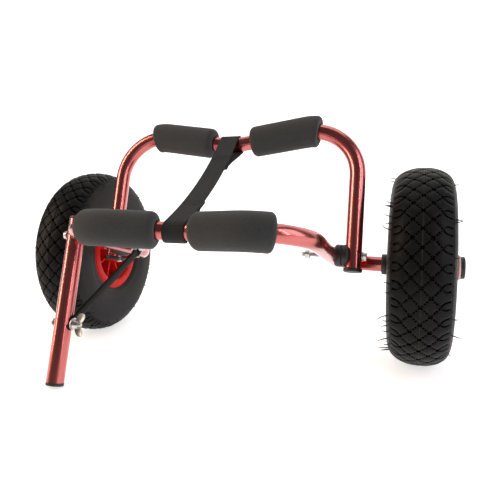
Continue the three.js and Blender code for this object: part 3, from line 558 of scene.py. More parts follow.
# The material of each slot
finishes = {
    "anodised_tube": anodisedAluminium(),
    "foam": closedCellFoam(),
    "webbing": nylonWebbing(),
    "tyre_rubber": mouldedRubber(),
    # Injection-moulded polypropylene, red through and through: half gloss with
    # slow ripples from the mould.
    "rim_plastic": evenMaterial(
        "moulded_red_polypropylene", {"Roughness": 0.4, "IOR": 1.49, "Specular IOR Level": 0.12},
        (25, 3.0), ("#BC120F", "#CE1C17"), (7, 2.0), (0.34, 0.46), (0.12, 0.15)),
    # Zinc-plated steel: pale silver with a faint blue and yellow cast and small spangles.
    "zinc_steel": evenMaterial(
        "zinc_plated_steel", {"Metallic": 1.0, "Roughness": 0.3},
        (5, 2.0), ("#BFC5CC", "#D6D2C8"), (0.8, 3.0), (0.2, 0.42), (0.1, 0.05)),
    # Glass-filled nylon, moulded black with a spark-eroded grain: satin, slightly green-grey.
    "black_plastic": evenMaterial(
        "black_moulded_plastic", {"Roughness": 0.45, "IOR": 1.5},
        (12, 3.0), ("#1A1C1B", "#262825"), (0.7, 4.0), (0.36, 0.55), (0.25, 0.08)),
    # Natural nylon of the bushings: milky and waxy, light sinks a little into it.
    "nylon": evenMaterial(
        "natural_nylon",
        {"Roughness": 0.4, "IOR": 1.53, "Subsurface Weight": 0.15, "Subsurface Scale": 1.5 * mm},
        (6, 3.0), ("#DDD8CF", "#EBE7E0"), (6, 3.0), (0.34, 0.5)),
    # Powder-coated steel strip: black, satin, with the fine orange peel of powder.
    "black_steel": evenMaterial(
        "black_powder_coated_steel", {"Roughness": 0.42, "IOR": 1.5, "Specular IOR Level": 0.12},
        (1.6, 2.0), ("#0C0D0D", "#151616"), (1.6, 2.0), (0.3, 0.46), (0.2, 0.1)),
}
# Butyl rubber of the inner tube and the valve's stem: smoother than the tyre.
tubeRubber = evenMaterial("butyl_rubber", {"Roughness": 0.5, "IOR": 1.5},
                          (9, 4.0), ("#171717", "#242424"), (9, 4.0), (0.4, 0.6), (0.15, 0.1))
paper = studioPaper()
print("materials made")


# The two bent frames and the stand's tube

def bentFrame(name, runs, place, body):
    tube = straightTube(name, frames["tubeRadius"], pathLength(runs))
    bendAlong(tube, runs)
    tidyMesh(tube)
    applyModifier(tube, "SOLIDIFY", thickness=frames["tubeWall"] * mm, offset=-1)
    placePiece(tube, place)
    finishPiece(tube, "anodised_tube", body)


bentFrame("axle_frame_tube", axlePath, axleFrame, "axle_frame")
bentFrame("cradle_frame_tube", cradlePath, cradle, "cradle")

standSizes = {
    "radius": 11.25,
    "top": 20.7,          # of the tube, above the bolt
    "bottom": -186.5,
    "topCap": 3.5,
    "foot": 3.8,
    "roundness": 0.9,
    "lean": 18.9,
    "drop": 192.23,       # from the bolt to the ground along the tube
}


def cappedEnd(name, radius, height, plugRadius, roundness):
    plug, chamfer, gap, crown = 12, 0.5, frames["seatGap"], 0.05
    profile = [(0, -plug), (plugRadius - chamfer, -plug), (plugRadius, -plug + chamfer), (plugRadius, gap),
               (radius - gap, gap), (radius, 2 * gap)]
    for i in range(5):
        angle = math.radians(i * 22.5)
        profile.append((radius - roundness * (1 - math.cos(angle)),
                        gap + height - roundness * (1 - math.sin(angle))))
    profile.append((0, gap + height + crown))
    return spunPiece(name, profile)


# Turns a piece that was spun about X so that its outer end looks along +Z.
upright = Matrix.Rotation(-math.pi / 2, 4, "Y")


def makeStand():
    s = standSizes
    tube = straightTube("stand_tube", s["radius"], s["top"] - s["bottom"])
    placePiece(tube, movedBy(0, 0, s["bottom"]))
    tidyMesh(tube)
    applyModifier(tube, "SOLIDIFY", thickness=frames["tubeWall"] * mm, offset=-1)
    placePiece(tube, stand)
    finishPiece(tube, "anodised_tube", "stand")
    plugRadius = s["radius"] - frames["tubeWall"] - frames["seatGap"]
    cap = cappedEnd("stand_top_cap", s["radius"], s["topCap"], plugRadius, s["roundness"])
    placePiece(cap, stand @ movedBy(0, 0, s["top"]) @ upright)
    finishPiece(cap, "black_plastic", "stand")
    foot = cappedEnd("stand_foot", s["radius"], s["foot"], plugRadius, s["roundness"])
    placePiece(foot, movedBy(0, 0, s["bottom"]) @ turnedX(180) @ upright)
    editPiece(foot, selectAll=True)
    ground = turnedX(s["lean"]) @ Vector((0, 0, -1))
    sole = Vector((0, 0, -s["drop"] * mm))
    bpy.ops.mesh.bisect(plane_co=sole, plane_no=ground, use_fill=True, clear_outer=True)
    leaveEdit()
    placePiece(foot, stand)
    finishPiece(foot, "black_plastic", "stand")


makeStand()
print("tubes bent, stand made")


# Foam pads, bent with the bars

padSizes = {
    "radius": 21.0,
    "bore": 10.45,
    "innerEnd": 7.5,          # rounding of the ends towards the bar's middle
    "outerEnd": 4.5,
    "near": {"length": 88.0, "left": 19.0, "right": 27.0},   # left and right from the bar's middle
    "far": {"length": 94.0, "left": 28.0, "right": 28.0},
}


def foamPad(name, runs, place, start, length, body):
    p = padSizes
    innerEnd, outerEnd = p["innerEnd"], p["outerEnd"]
    if start < pathLength(runs) / 2:
        innerEnd, outerEnd = outerEnd, innerEnd
    profile = []
    for i in range(9):
        angle = math.radians(i * 11.25)
        profile.append((p["radius"] - innerEnd * (1 - math.sin(angle)), innerEnd * (1 - math.cos(angle))))
    straight = length - innerEnd - outerEnd
    for i in range(1, 24):
        profile.append((p["radius"], innerEnd + straight * i / 24))
    for i in range(9):
        angle = math.radians(90 - i * 11.25)
        profile.append((p["radius"] - outerEnd * (1 - math.sin(angle)),
                        length - outerEnd * (1 - math.cos(angle))))
    profile += [(p["bore"] + 1.0, length), (p["bore"], length - 1.0)]
    for i in range(15, 0, -1):
        profile.append((p["bore"], length * i / 16))
    profile += [(p["bore"], 1.0), (p["bore"] + 1.0, 0.0), profile[0]]
    pad = spunPiece(name, profile, steps=64)
    placePiece(pad, upright)
    rememberStraight(pad)
    bendAlong(pad, runs, start)
    tidyMesh(pad)
    placePiece(pad, place)
    finishPiece(pad, "foam", body, angle=60)


for runs, place, inset, body, row in ((axlePath, axleFrame, padSizes["near"], "axle_frame", "near"),
                                      (cradlePath, cradle, padSizes["far"], "cradle", "far")):
    middle = pathLength(runs) / 2
    length = inset["length"]
    foamPad(row + "_pad_left", runs, place, middle - inset["left"] - length, length, body)
    foamPad(row + "_pad_right", runs, place, middle + inset["right"], length, body)
print("pads made")


# Small turned pieces on the bolts

def ringPiece(name, outer, inner, width, roundness):
    edge = [(outer - roundness, 0), (outer - roundness * 0.3, roundness * 0.3), (outer, roundness)]
    profile = [(inner, 0)] + edge + [(r, width - x) for r, x in reversed(edge)] + [(inner, width), (inner, 0)]
    return spunPiece(name, profile)


fasteners = {
    "boltRadius": 3.0,
    "threadPitch": 1.0,
    "threadDepth": 0.5,
    "headAcross": 10.0,
    "headHeight": 4.0,
    "nutHeight": 6.0,
    "hole": 3.35,
    "washer": {"width": 1.2, "roundness": 0.25, "small": 5.5, "usual": 6.4, "large": 8.0},
}


def washerAt(name, size, fromX, place, body):
    w = fasteners["washer"]
    washer = ringPiece(name, w[size], fasteners["hole"], w["width"], w["roundness"])
    placePiece(washer, place @ movedBy(fromX, 0, 0))
    finishPiece(washer, "zinc_steel", body)


def hexagon(name, across, depth):
    deselectAll()
    corner = across / 2 / math.cos(math.pi / 6)
    bpy.ops.mesh.primitive_cylinder_add(vertices=6, radius=corner * mm, depth=depth * mm)
    piece = started(name)
    placePiece(piece, Matrix.Rotation(math.pi / 2, 4, "Y") @ Matrix.Rotation(math.pi / 6, 4, "Z"))
    flat, end = across / 2, depth / 2
    cone = spunPiece("chamfer", [(0, -end), (flat * 1.1, -end), (flat * 1.1, end - 1.0), (flat * 0.95, end),
                                 (0, end)])
    combine(piece, cone, "INTERSECT")
    bevelPiece(piece, 0.18)
    return piece


# Head at the origin looking along -X, the thread running along +X.
def hexBolt(name, length, place, body, threadFrom):
    f = fasteners
    crest, root = f["boltRadius"], f["boltRadius"] - f["threadDepth"]
    profile = [(0, -1.0), (crest, -1.0), (crest, threadFrom)]
    ridges = int((length - threadFrom - 1.2) / f["threadPitch"])
    for i in range(ridges):
        start = threadFrom + i * f["threadPitch"]
        profile += [(root, start + 0.45), (crest, start + 0.9)]
    profile += [(root, length - 0.5), (root - 0.5, length), (0, length)]
    bolt = spunPiece(name, profile, steps=24)
    head = hexagon("head", f["headAcross"], f["headHeight"])
    placePiece(head, facingBack @ movedBy(f["headHeight"] / 2, 0, 0))
    combine(bolt, head)
    placePiece(bolt, place)
    finishPiece(bolt, "zinc_steel", body)


def hexNut(name, place, body):
    f = fasteners
    nut = hexagon(name, f["headAcross"], f["nutHeight"])
    drill(nut, f["hole"], -9, 9)
    placePiece(nut, place @ movedBy(f["nutHeight"] / 2, 0, 0))
    finishPiece(nut, "zinc_steel", body)


# Places along each bolt from the cart's middle plane
pivotStack = {
    "washer": 183.55,
    "head": 185.05,
    "tip": 108.0,
    "nut": 113.0,
    "threadFrom": 30.0,       # from under the head
    "wingWasher": -130.35,
    "wingNut": -128.85,
}


def makePivotBolts():
    p = pivotStack
    length = p["head"] - p["tip"]
    rightHead = pivot @ movedBy(p["head"], 0, 0) @ facingBack
    hexBolt("pivot_bolt_right", length, rightHead, "axle_frame", p["threadFrom"])
    hexBolt("pivot_bolt_left", length, pivot @ movedBy(-p["head"], 0, 0), "axle_frame", p["threadFrom"])
    leftWasher = -p["washer"] - fasteners["washer"]["width"]
    washerAt("pivot_washer_right", "usual", p["washer"], pivot, "axle_frame")
    washerAt("pivot_washer_left", "usual", leftWasher, pivot, "axle_frame")
    hexNut("pivot_nut_right", pivot @ movedBy(p["nut"], 0, 0), "axle_frame")
    washerAt("wing_nut_washer_left", "small", p["wingWasher"], pivot, "axle_frame")


makePivotBolts()

standStack = {"washer": -182.25, "head": -182.55, "tip": -126.45, "nut": -135.45, "spacer": -157.85,
              "threadLength": 24}


def makeStandBolt():
    s = standStack
    length = s["tip"] - s["head"]
    threadFrom = length - s["threadLength"]
    hexBolt("stand_bolt", length, standBolt @ movedBy(s["head"], 0, 0), "axle_frame", threadFrom)
    washerAt("stand_bolt_washer", "usual", s["washer"], standBolt, "axle_frame")
    washerAt("stand_spacer_washer", "large", s["spacer"], standBolt, "axle_frame")
    hexNut("stand_bolt_nut", standBolt @ movedBy(s["nut"], 0, 0), "axle_frame")


makeStandBolt()

wingSizes = {
    "hub": [(3.35, 0), (6.2, 0), (6.4, 0.3), (6.3, 1.0), (5.4, 2.2), (4.9, 6.4), (4.5, 7.5), (3.35, 7.5),
            (3.35, 0)],
    "thickness": 2.4,
    "long": 7.3,
    "wide": 5.0,
    "lean": 57.0,
    "middle": (8.0, 0, 7.9),
    "rim": 1.2,               # round the thinner middle of a wing
    "sunk": 0.45,
}


# Seat at the origin, wings standing away along +X in the XZ plane.
def wingNut(name, place, body):
    w = wingSizes
    hub = spunPiece(name, w["hub"], steps=36)
    deselectAll()
    bpy.ops.mesh.primitive_circle_add(vertices=28, radius=mm, fill_type="NGON")
    wing = started("wing")
    wing.scale = (w["long"], w["wide"], 1)
    bpy.ops.object.transform_apply(scale=True)
    editPiece(wing, selectAll=True, mode="FACE")
    bpy.ops.mesh.extrude_region_move(TRANSFORM_OT_translate={"value": (0, 0, w["thickness"] * mm)})
    leaveEdit()
    tidyMesh(wing)
    placePiece(wing, movedBy(0, 0, -w["thickness"] / 2))
    editPicked(wing, "FACE", lambda face: abs(face.normal.z) > 0.9)
    bpy.ops.mesh.inset(thickness=w["rim"] * mm, use_individual=True)
    bpy.ops.transform.shrink_fatten(value=-w["sunk"] * mm)
    leaveEdit()
    bevelPiece(wing, 0.35)
    lean = Matrix.Rotation(-math.radians(w["lean"]), 4, "Y") @ turnedX(90)
    placePiece(wing, movedBy(*w["middle"]) @ lean)
    otherWing = copyPiece(wing, "other_wing", turnedX(180))
    hub = joinPieces([hub, wing, otherWing])
    placePiece(hub, place)
    finishPiece(hub, "zinc_steel", body, angle=40)


wingNut("pivot_wing_nut_left", pivot @ movedBy(pivotStack["wingNut"], 0, 0), "pivot_wing_nut")

# What the stay's strip, the washer and the bolt's end take up past the stand's face
braceStack = {"strip": 3.3, "washer": 1.5, "tip": 10.5, "threadFrom": 24}


def makeBrace():
    b = braceStack
    face = standSizes["radius"] + frames["seatGap"]
    ring = face + b["strip"]
    seat = ring + b["washer"]
    hexBolt("brace_bolt", seat + b["tip"] + face, brace @ movedBy(-face, 0, 0), "stand", b["threadFrom"])
    washerAt("brace_washer", "large", ring, brace, "stand")
    wingNut("brace_wing_nut", brace @ movedBy(seat, 0, 0), "brace_wing_nut")


makeBrace()
print("fasteners made")


# Saddles between the legs: black cups, each hugging its own leg

saddleSizes = {"radius": 14.0, "chamfer": 2.0, "wrap": 5.6, "flat": 159.5}


def saddle(name, side, legX, place, body):
    s = saddleSizes
    inward = 1 if legX < s["flat"] else -1          # from the leg to the flat face
    flat = s["flat"] - inward * 0.15
    rim = legX + inward * (frames["tubeRadius"] - s["wrap"])
    r, c = s["radius"], s["chamfer"]
    half = spunPiece(name, [(3.35, flat), (r - 0.6, flat), (r, flat - inward * 0.6), (r, rim + inward * c),
                            (r - c * 0.4, rim + inward * c * 0.35), (r - c, rim), (3.35, rim), (3.35, flat)])
    deselectAll()
    bpy.ops.mesh.primitive_cylinder_add(vertices=64, radius=(frames["tubeRadius"] + 0.15) * mm, depth=60 * mm,
                                        location=(legX * mm, 0, 0))
    cup = started("cup")
    combine(half, cup, "DIFFERENCE")
    bevelPiece(half, 0.35, angle=40)
    if side < 0:
        placePiece(half, facingBack)
    placePiece(half, place)
    finishPiece(half, "black_plastic", body)


for side, label in ((-1, "left"), (1, "right")):
    saddle("near_saddle_" + label, side, frames["axleHalfWidth"], pivot, "axle_frame")
    saddle("far_saddle_" + label, side, frames["cradleHalfWidth"], cradle, "cradle")


# Caps and collars

capSizes = {
    "leg": {"radius": 11.5, "height": 4.8, "roundness": 1.2},
    "axle": {"radius": 14.6, "height": 5.6, "roundness": 2.2},
    "collar": {"outer": 14.0, "inner": 10.55, "width": 8.0, "roundness": 1.0},
    "collarX": 202.6,
}


def makeCaps():
    c = capSizes
    plugRadius = frames["tubeRadius"] - frames["tubeWall"] - frames["seatGap"]
    for side, label in ((-1, "left"), (1, "right")):
        legCap = cappedEnd("leg_cap_" + label, plugRadius=plugRadius, **c["leg"])
        legEnd = cradle @ movedBy(side * frames["cradleHalfWidth"], 0, -frames["cradleTail"])
        placePiece(legCap, legEnd @ turnedX(180) @ upright)
        finishPiece(legCap, "black_plastic", "cradle")
        axleCap = cappedEnd("axle_cap_" + label, plugRadius=plugRadius, **c["axle"])
        turn = Matrix.Identity(4) if side > 0 else facingBack
        placePiece(axleCap, axleFrame @ turn @ movedBy(frames["axleTubeEnd"], 0, 0))
        finishPiece(axleCap, "black_plastic", "axle_frame")
        collar = ringPiece("axle_collar_" + label, **c["collar"])
        placePiece(collar, axleFrame @ turn @ movedBy(c["collarX"], 0, 0))
        finishPiece(collar, "black_plastic", "axle_frame")


makeCaps()
print("saddles, caps and collars made")


# The stay: a flat strip with a set in it, open at its lower end, in a bright channel

staySizes = {
    "width": 10.4,
    "thickness": 3.0,
    "endRadius": 8.0,
    "upperFlat": 22.0,
    "lowerFlat": 11.0,
    "upperX": -133.65,
    "lowerX": -157.95,
    "slotWidth": 7.4,
    "slotLean": 23.0,
}


def stayStrip():
    s = staySizes
    outline = []
    for i in range(13):
        angle = math.radians(180 + i * 15)
        outline.append((s["width"] / 2 * math.cos(angle), s["width"] / 2 * math.sin(angle)))
    outline += [(s["width"] / 2, s["upperFlat"]), (s["width"] / 2, stayLength - s["lowerFlat"])]
    for i in range(13):
        angle = math.radians(i * 15)
        outline.append((s["endRadius"] * math.cos(angle), stayLength + s["endRadius"] * math.sin(angle)))
    outline += [(-s["width"] / 2, stayLength - s["lowerFlat"]), (-s["width"] / 2, s["upperFlat"]), outline[0]]
    strip = drawnChain("stay_strip", [Vector((0, y, z)) for y, z in outline])
    bpy.ops.mesh.edge_face_add()
    for z in (s["upperFlat"], stayLength - s["lowerFlat"]):
        bpy.ops.mesh.select_all(action="SELECT")
        bpy.ops.mesh.bisect(plane_co=(0, 0, z * mm), plane_no=(0, 0, 1))
    leaveEdit()
    for vertex in strip.data.vertices:
        share = (vertex.co.z / mm - s["upperFlat"]) / (stayLength - s["lowerFlat"] - s["upperFlat"])
        vertex.co.x = (s["upperX"] + (s["lowerX"] - s["upperX"]) * min(max(share, 0), 1)) * mm
    tidyMesh(strip)
    applyModifier(strip, "SOLIDIFY", thickness=s["thickness"] * mm, offset=0)
    placePiece(strip, movedBy(s["thickness"] / 2, 0, 0))
    tidyMesh(strip)
    drill(strip, fasteners["hole"], -200, -100)
    drill(strip, s["slotWidth"] / 2, -200, -100, movedBy(0, 0, stayLength))
    deselectAll()
    bpy.ops.mesh.primitive_cube_add(size=mm)
    slot = started("slot")
    slot.scale = (100, 40, s["slotWidth"])
    slot.location = Vector((-150, 20, 0)) * mm
    bpy.ops.object.transform_apply(location=True, scale=True)
    placePiece(slot, movedBy(0, 0, stayLength) @ turnedX(s["slotLean"]))
    combine(strip, slot, "DIFFERENCE")
    bevelPiece(strip, 0.5, angle=50)
    placePiece(strip, stay)
    finishPiece(strip, "black_steel", "stay")


bracketSizes = {"inner": 6.3, "wall": 1.5, "depth": 8.0, "length": 22.0, "setback": 8.0, "backX": -135.45}


def stayBracket():
    inner, wall, depth, length, setback, backX = bracketSizes.values()
    deselectAll()
    bpy.ops.mesh.primitive_plane_add(size=mm)
    channel = started("stay_bracket")
    channel.scale = (length, 2 * inner + wall, 1)
    bpy.ops.object.transform_apply(scale=True)
    placePiece(channel, movedBy(0, 0, length / 2 - setback) @ Matrix.Rotation(math.pi / 2, 4, "Y"))
    for side in (-1, 1):
        def isLip(edge):
            ends = [channel.data.vertices[i].co for i in edge.vertices]
            return all(end.y * side > (inner + wall / 4) * mm and abs(end.x) < 0.01 * mm for end in ends)
        editPicked(channel, "EDGE", isLip)
        bpy.ops.mesh.extrude_region_move(TRANSFORM_OT_translate={"value": ((depth - wall / 2) * mm, 0, 0)})
        leaveEdit()
    tidyMesh(channel)
    applyModifier(channel, "SOLIDIFY", thickness=wall * mm, offset=0, use_even_offset=True)
    placePiece(channel, movedBy(backX + wall / 2, 0, 0))
    drill(channel, fasteners["hole"], -200, -100)
    bevelPiece(channel, 0.4, angle=50)
    placePiece(channel, stay)
    finishPiece(channel, "zinc_steel", "stay")


stayStrip()
stayBracket()
print("stay made")


# The strap: one length of webbing, looped round both bars and sewn back on itself

strapSizes = {
    "width": 26.0,
    "thickness": 2.0,
    "eyeRadius": 11.9,        # to the middle of the webbing's thickness
    "sag": 10.0,
    "tailGap": 0.05,
    "nearOffset": 5.5,
    "farOffset": -3.0,
    "eyeFrom": -112,          # degrees: where the tail meets the eye under the bar
    # where the tail meets the strap and ends, from the bar, and how far the tail and
    # the underside of the eye sit out of line
    "near": {"meets": 43.0, "ends": 60.0, "tailShift": 0.4, "eyeShift": -3.0},
    "far": {"meets": 68.0, "ends": 77.0, "tailShift": 2.2, "eyeShift": 3.8},
}


# How high the webbing's middle is over the line between the bars.
def strapHeight(a, span):
    return strapSizes["eyeRadius"] - 4 * strapSizes["sag"] * a * (span - a) / span ** 2


# (along, height, sideways shift) of the middle of the webbing, in the plane of the
# line from the near bar to the far one.
def strapRoute(span):
    s = strapSizes
    eye = s["eyeRadius"]

    def tail(a):
        return strapHeight(a, span) - s["thickness"] - s["tailGap"]

    def eyeRows(end):
        rows = []
        for i in range(7):
            a = end["ends"] - (end["ends"] - end["meets"]) * i / 6
            rows.append((a, tail(a), end["tailShift"]))
        meet = (end["meets"], tail(end["meets"]))
        below = math.radians(s["eyeFrom"])
        bottom = (eye * math.cos(below), eye * math.sin(below))
        for i in range(1, 10):
            k = i / 10
            ease = k * k * (3 - 2 * k)
            rows.append((meet[0] + (bottom[0] - meet[0]) * k,
                         meet[1] + (bottom[1] - meet[1]) * (0.35 * ease + 0.65 * k),
                         end["tailShift"] + (end["eyeShift"] - end["tailShift"]) * k))
        for i in range(15):
            angle = below - (below + math.radians(270)) * i / 14
            rows.append((eye * math.cos(angle), eye * math.sin(angle), end["eyeShift"] * (1 - i / 14)))
        return rows

    mainSteps = 60
    route = eyeRows(s["near"])
    for i in range(1, mainSteps):
        a = span * i / mainSteps
        route.append((a, strapHeight(a, span), 0))
    for a, h, shift in reversed(eyeRows(s["far"])):
        route.append((span - a, h, shift))
    return route


def makeStrap():
    s = strapSizes
    nearMiddle = pathLength(axlePath) / 2 + s["nearOffset"]
    farMiddle = pathLength(cradlePath) / 2 + s["farOffset"]
    near = axleFrame @ (pointOn(axlePath, nearMiddle)[0] * mm)
    far = cradle @ (pointOn(cradlePath, farMiddle)[0] * mm)
    line = Vector((0, far.y - near.y, far.z - near.z))
    span = line.length / mm
    along = line.normalized()
    up = acrossX.cross(along)
    lean = (far.x - near.x) / line.length
    route = strapRoute(span)
    rows = len(route)
    deselectAll()
    bpy.ops.mesh.primitive_grid_add(x_subdivisions=12, y_subdivisions=rows - 1, size=1)
    strap = started("strap")
    woven = strap.data.attributes.new("woven", "FLOAT_VECTOR", "POINT")
    lengths = [0.0]
    for (a, h, _), (b, k, _) in zip(route, route[1:]):
        lengths.append(lengths[-1] + math.hypot(b - a, k - h))
    for vertex in strap.data.vertices:
        row = min(max(round((vertex.co.y + 0.5) * (rows - 1)), 0), rows - 1)
        a, h, shift = route[row]
        x = vertex.co.x * s["width"]
        woven.data[vertex.index].vector = (x, lengths[row], 0)
        edge = abs(vertex.co.x) * 2
        sunk = 0.25 if edge < 0.9 else 0            # the selvedges stand a hair proud
        place = near + along * a * mm + up * (h - sunk) * mm
        vertex.co = place + acrossX * (x + shift + lean * a) * mm
    tidyMesh(strap)
    applyModifier(strap, "SOLIDIFY", thickness=s["thickness"] * mm, offset=0)
    bevelPiece(strap, 0.6, segments=2, angle=60)
    finishPiece(strap, "webbing", None, angle=50)
    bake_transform(strap)
    return near, along, up, lean, span


strapPlace = makeStrap()


# Stitches: a box of thread at each eye, through both layers

stitchSizes = {"halfWidth": 9.0, "from": 46.0, "to": 57.0, "step": 2.9, "sunk": 0.2}


def makeStitches(near, along, up, lean, span):
    s, z = strapSizes, stitchSizes
    deselectAll()
    bpy.ops.mesh.primitive_uv_sphere_add(segments=8, ring_count=5, radius=0.5 * mm)
    stitch = started("stitch")
    stitch.scale = (0.7, 2.3, 0.55)
    bpy.ops.object.transform_apply(scale=True)
    rows = []
    w, low, high = z["halfWidth"], z["from"], z["to"]
    for side, a in ((-1, low), (1, high)):
        rows += [((side * w, low), (side * w, high)), ((-w, a), (w, a)), ((side * w, low), (-side * w, high))]
    pieces = []
    for end in ("near", "far"):
        for (x0, a0), (x1, a1) in rows:
            run = math.hypot(x1 - x0, a1 - a0)
            count = max(2, round(run / z["step"]))
            for i in range(count):
                k = (i + 0.5) / count
                x = x0 + (x1 - x0) * k
                a = a0 + (a1 - a0) * k
                if end == "far":
                    a = span - a
                height = strapHeight(a, span) + s["thickness"] / 2 - z["sunk"]
                way = (along * (a1 - a0) * (1 if end == "near" else -1) + acrossX * (x1 - x0)).normalized()
                basis = Matrix((way.cross(up), way, up)).transposed().to_4x4()
                centre = near + along * a * mm + up * height * mm + acrossX * (x + lean * a) * mm
                name = "stitch_" + str(len(pieces))
                pieces.append(copyPiece(stitch, name, Matrix.Translation(centre) @ basis))
    bpy.data.objects.remove(stitch)
    thread = joinPieces(pieces)
    thread.name = "strap_stitches"
    finishPiece(thread, "webbing", None, angle=60, isExtra=True)
    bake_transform(thread)


makeStitches(*strapPlace)
print("strap made")


# The wheels, each modelled once about its own middle with the outer side along +X

wheelSizes = {
    "radius": 130.0,
    "beadSeat": 50.8,
    "halfWidth": 38.5,
    "steps": 144,
}
# Shares of the height above the bead seat and of the half width
tyreOutline = [(0.17, 0.93), (0.4, 1), (0.58, 1), (0.73, 0.965), (0.85, 0.845), (0.94, 0.61), (0.985, 0.33),
               (1, 0)]


# The outline as a smooth curve from the crown outwards: (length, radius, x) steps.
def crownCurve():
    w = wheelSizes
    height = w["radius"] - w["beadSeat"]
    half = [(w["beadSeat"] + height * up, w["halfWidth"] * out) for up, out in reversed(tyreOutline)]
    points = [(half[1][0], -half[1][1])] + half + [(60.4, 33.4)]
    curve = [(0.0, half[0][0], half[0][1])]
    for i in range(1, len(points) - 2):
        p0, p1, p2, p3 = points[i - 1:i + 3]
        for j in range(1, 25):
            k = j / 24
            place = [0.5 * (2 * p1[n] + (p2[n] - p0[n]) * k
                            + (2 * p0[n] - 5 * p1[n] + 4 * p2[n] - p3[n]) * k ** 2
                            + (3 * p1[n] - p0[n] - 3 * p2[n] + p3[n]) * k ** 3) for n in (0, 1)]
            _, lastRadius, lastX = curve[-1]
            length = curve[-1][0] + math.hypot(place[0] - lastRadius, place[1] - lastX)
            curve.append((length, place[0], place[1]))
    return curve


def onCurve(curve, length):
    for (a, r0, x0), (b, r1, x1) in zip(curve, curve[1:]):
        if length <= b:
            k = (length - a) / (b - a)
            return r0 + (r1 - r0) * k, x0 + (x1 - x0) * k
    return curve[-1][1], curve[-1][2]


# The tyre's skin without its tread, from one shoulder round the inside to the other.
def tyreProfile(curve):
    treadEnd = treadSizes["width"]
    half = [onCurve(curve, treadEnd)]
    sideLength = curve[-1][0] - treadEnd
    # The sidewall: a smooth band, then fine rings down to the bead.
    for i in range(1, 31):
        length = treadEnd + sideLength * i / 30
        radius, x = onCurve(curve, length)
        ring = 0.25 if i in (22, 28) else 0
        half.append((radius, x + ring))
    # The bead, and the inside up to the crown
    half += [(60.3, 32.6), (60.3, 31.5), (51.6, 31.5), (51.0, 30.6), (51.0, 22.5), (56, 23.5), (68, 30.5),
             (84, 34), (99, 33.2), (111, 28), (119, 17), (122.3, 0)]
    mirrored = [(radius, -x) for radius, x in half]
    return half + mirrored[-2::-1]


# The tread: diamond blocks between crossing grooves, with tie bars across the
# grooves, and hooks that curl outwards over the shoulders. Lengths run round the
# wheel (s) and across the tread from its middle (v).
treadSizes = {
    "pitches": 36,
    "halfPitch": 11.345,
    "crossing": 10.85,        # between rows of crossings
    "grooveHalf": 1.3,
    "depth": 2.1,
    "lastCrossing": 21.7,
    "grooveEnd": 34.6,
    "width": 37.0,
    "tieBars": [0.22, 0.31, 0.46, 0.54, 0.69, 0.78],   # their two edges, as shares of a block's side
    "dome": 0.55,
    "domeReach": 4.0,
    "ridge": 0.25,            # where the mould parts
    "sharesPerMm": 0.06377,   # across a groove: half of hypot(1 / crossing, 1 / halfPitch)
    "blockRim": 0.055,        # a cut beside each groove, in shares
    "ridgeHalf": 0.35,
    # further cuts over the shoulder: lengths across, and one round
    "shoulderRows": (27.2, 30.2, 31.7, 33.2, 35.8),
    "shoulderColumn": 8.4,
}
hookCorners = [(0, 21.7), (2.3, 23.4), (4.1, 25.7), (5.0, 28.8), (4.9, 34.6)]


# Where a point lies between the two families of crossing grooves: a whole number
# is the middle of a groove.
def grooveShares(s, v):
    t = treadSizes
    return (v / t["crossing"] - s / t["halfPitch"]) / 2, (v / t["crossing"] + s / t["halfPitch"]) / 2


def segmentDistance(s, v, start, end):
    run = Vector(end) - Vector(start)
    away = Vector((s, v)) - Vector(start)
    share = min(max(away.dot(run) / run.length_squared, 0), 1)
    return (away - run * share).length


def grooveDistance(s, v):
    t = treadSizes
    h, g = t["halfPitch"], t["crossing"]
    lines = [((0, 0), (h, g)), ((h, g), (0, 2 * g)), ((0, 0), (-h, g)), ((-h, g), (0, 2 * g)),
             ((0, 0), (h, -g)), ((h, g), (2 * h, 0)), ((h, g), (2 * h, 2 * g))]
    for start, end in zip(hookCorners, hookCorners[1:]):
        lines.append((start, end))
        lines.append(((-start[0], start[1]), (-end[0], end[1])))
        lines.append(((2 * h - start[0], start[1]), (2 * h - end[0], end[1])))
    return min(segmentDistance(s, v, start, end) for start, end in lines) - t["grooveHalf"]


def onTieBar(share):
    part = share - math.floor(share)
    edges = treadSizes["tieBars"]
    return any(low < part < high for low, high in zip(edges[::2], edges[1::2]))


# Is the middle of this face down in a groove?
def inGroove(s, v):
    t = treadSizes
    if v > t["grooveEnd"] or grooveDistance(s, v) > -0.02:
        return False
    if v > t["lastCrossing"]:
        return True
    m, n = grooveShares(s, v)
    halfShare = t["grooveHalf"] * t["sharesPerMm"]
    onFirst = abs(m - round(m)) < halfShare
    onSecond = abs(n - round(n)) < halfShare
    if onFirst and onSecond:
        return True
    return not onTieBar(n if onFirst else m)


# Cuts the flat piece along a line, within a band of lengths across.
def cutLine(piece, point, normal, low=-1, high=99):
    editPicked(piece, "FACE", lambda face: low * mm < face.center.y < high * mm)
    bpy.ops.mesh.bisect(plane_co=Vector((point[0], point[1], 0)) * mm, plane_no=(normal[0], normal[1], 0))
    leaveEdit()


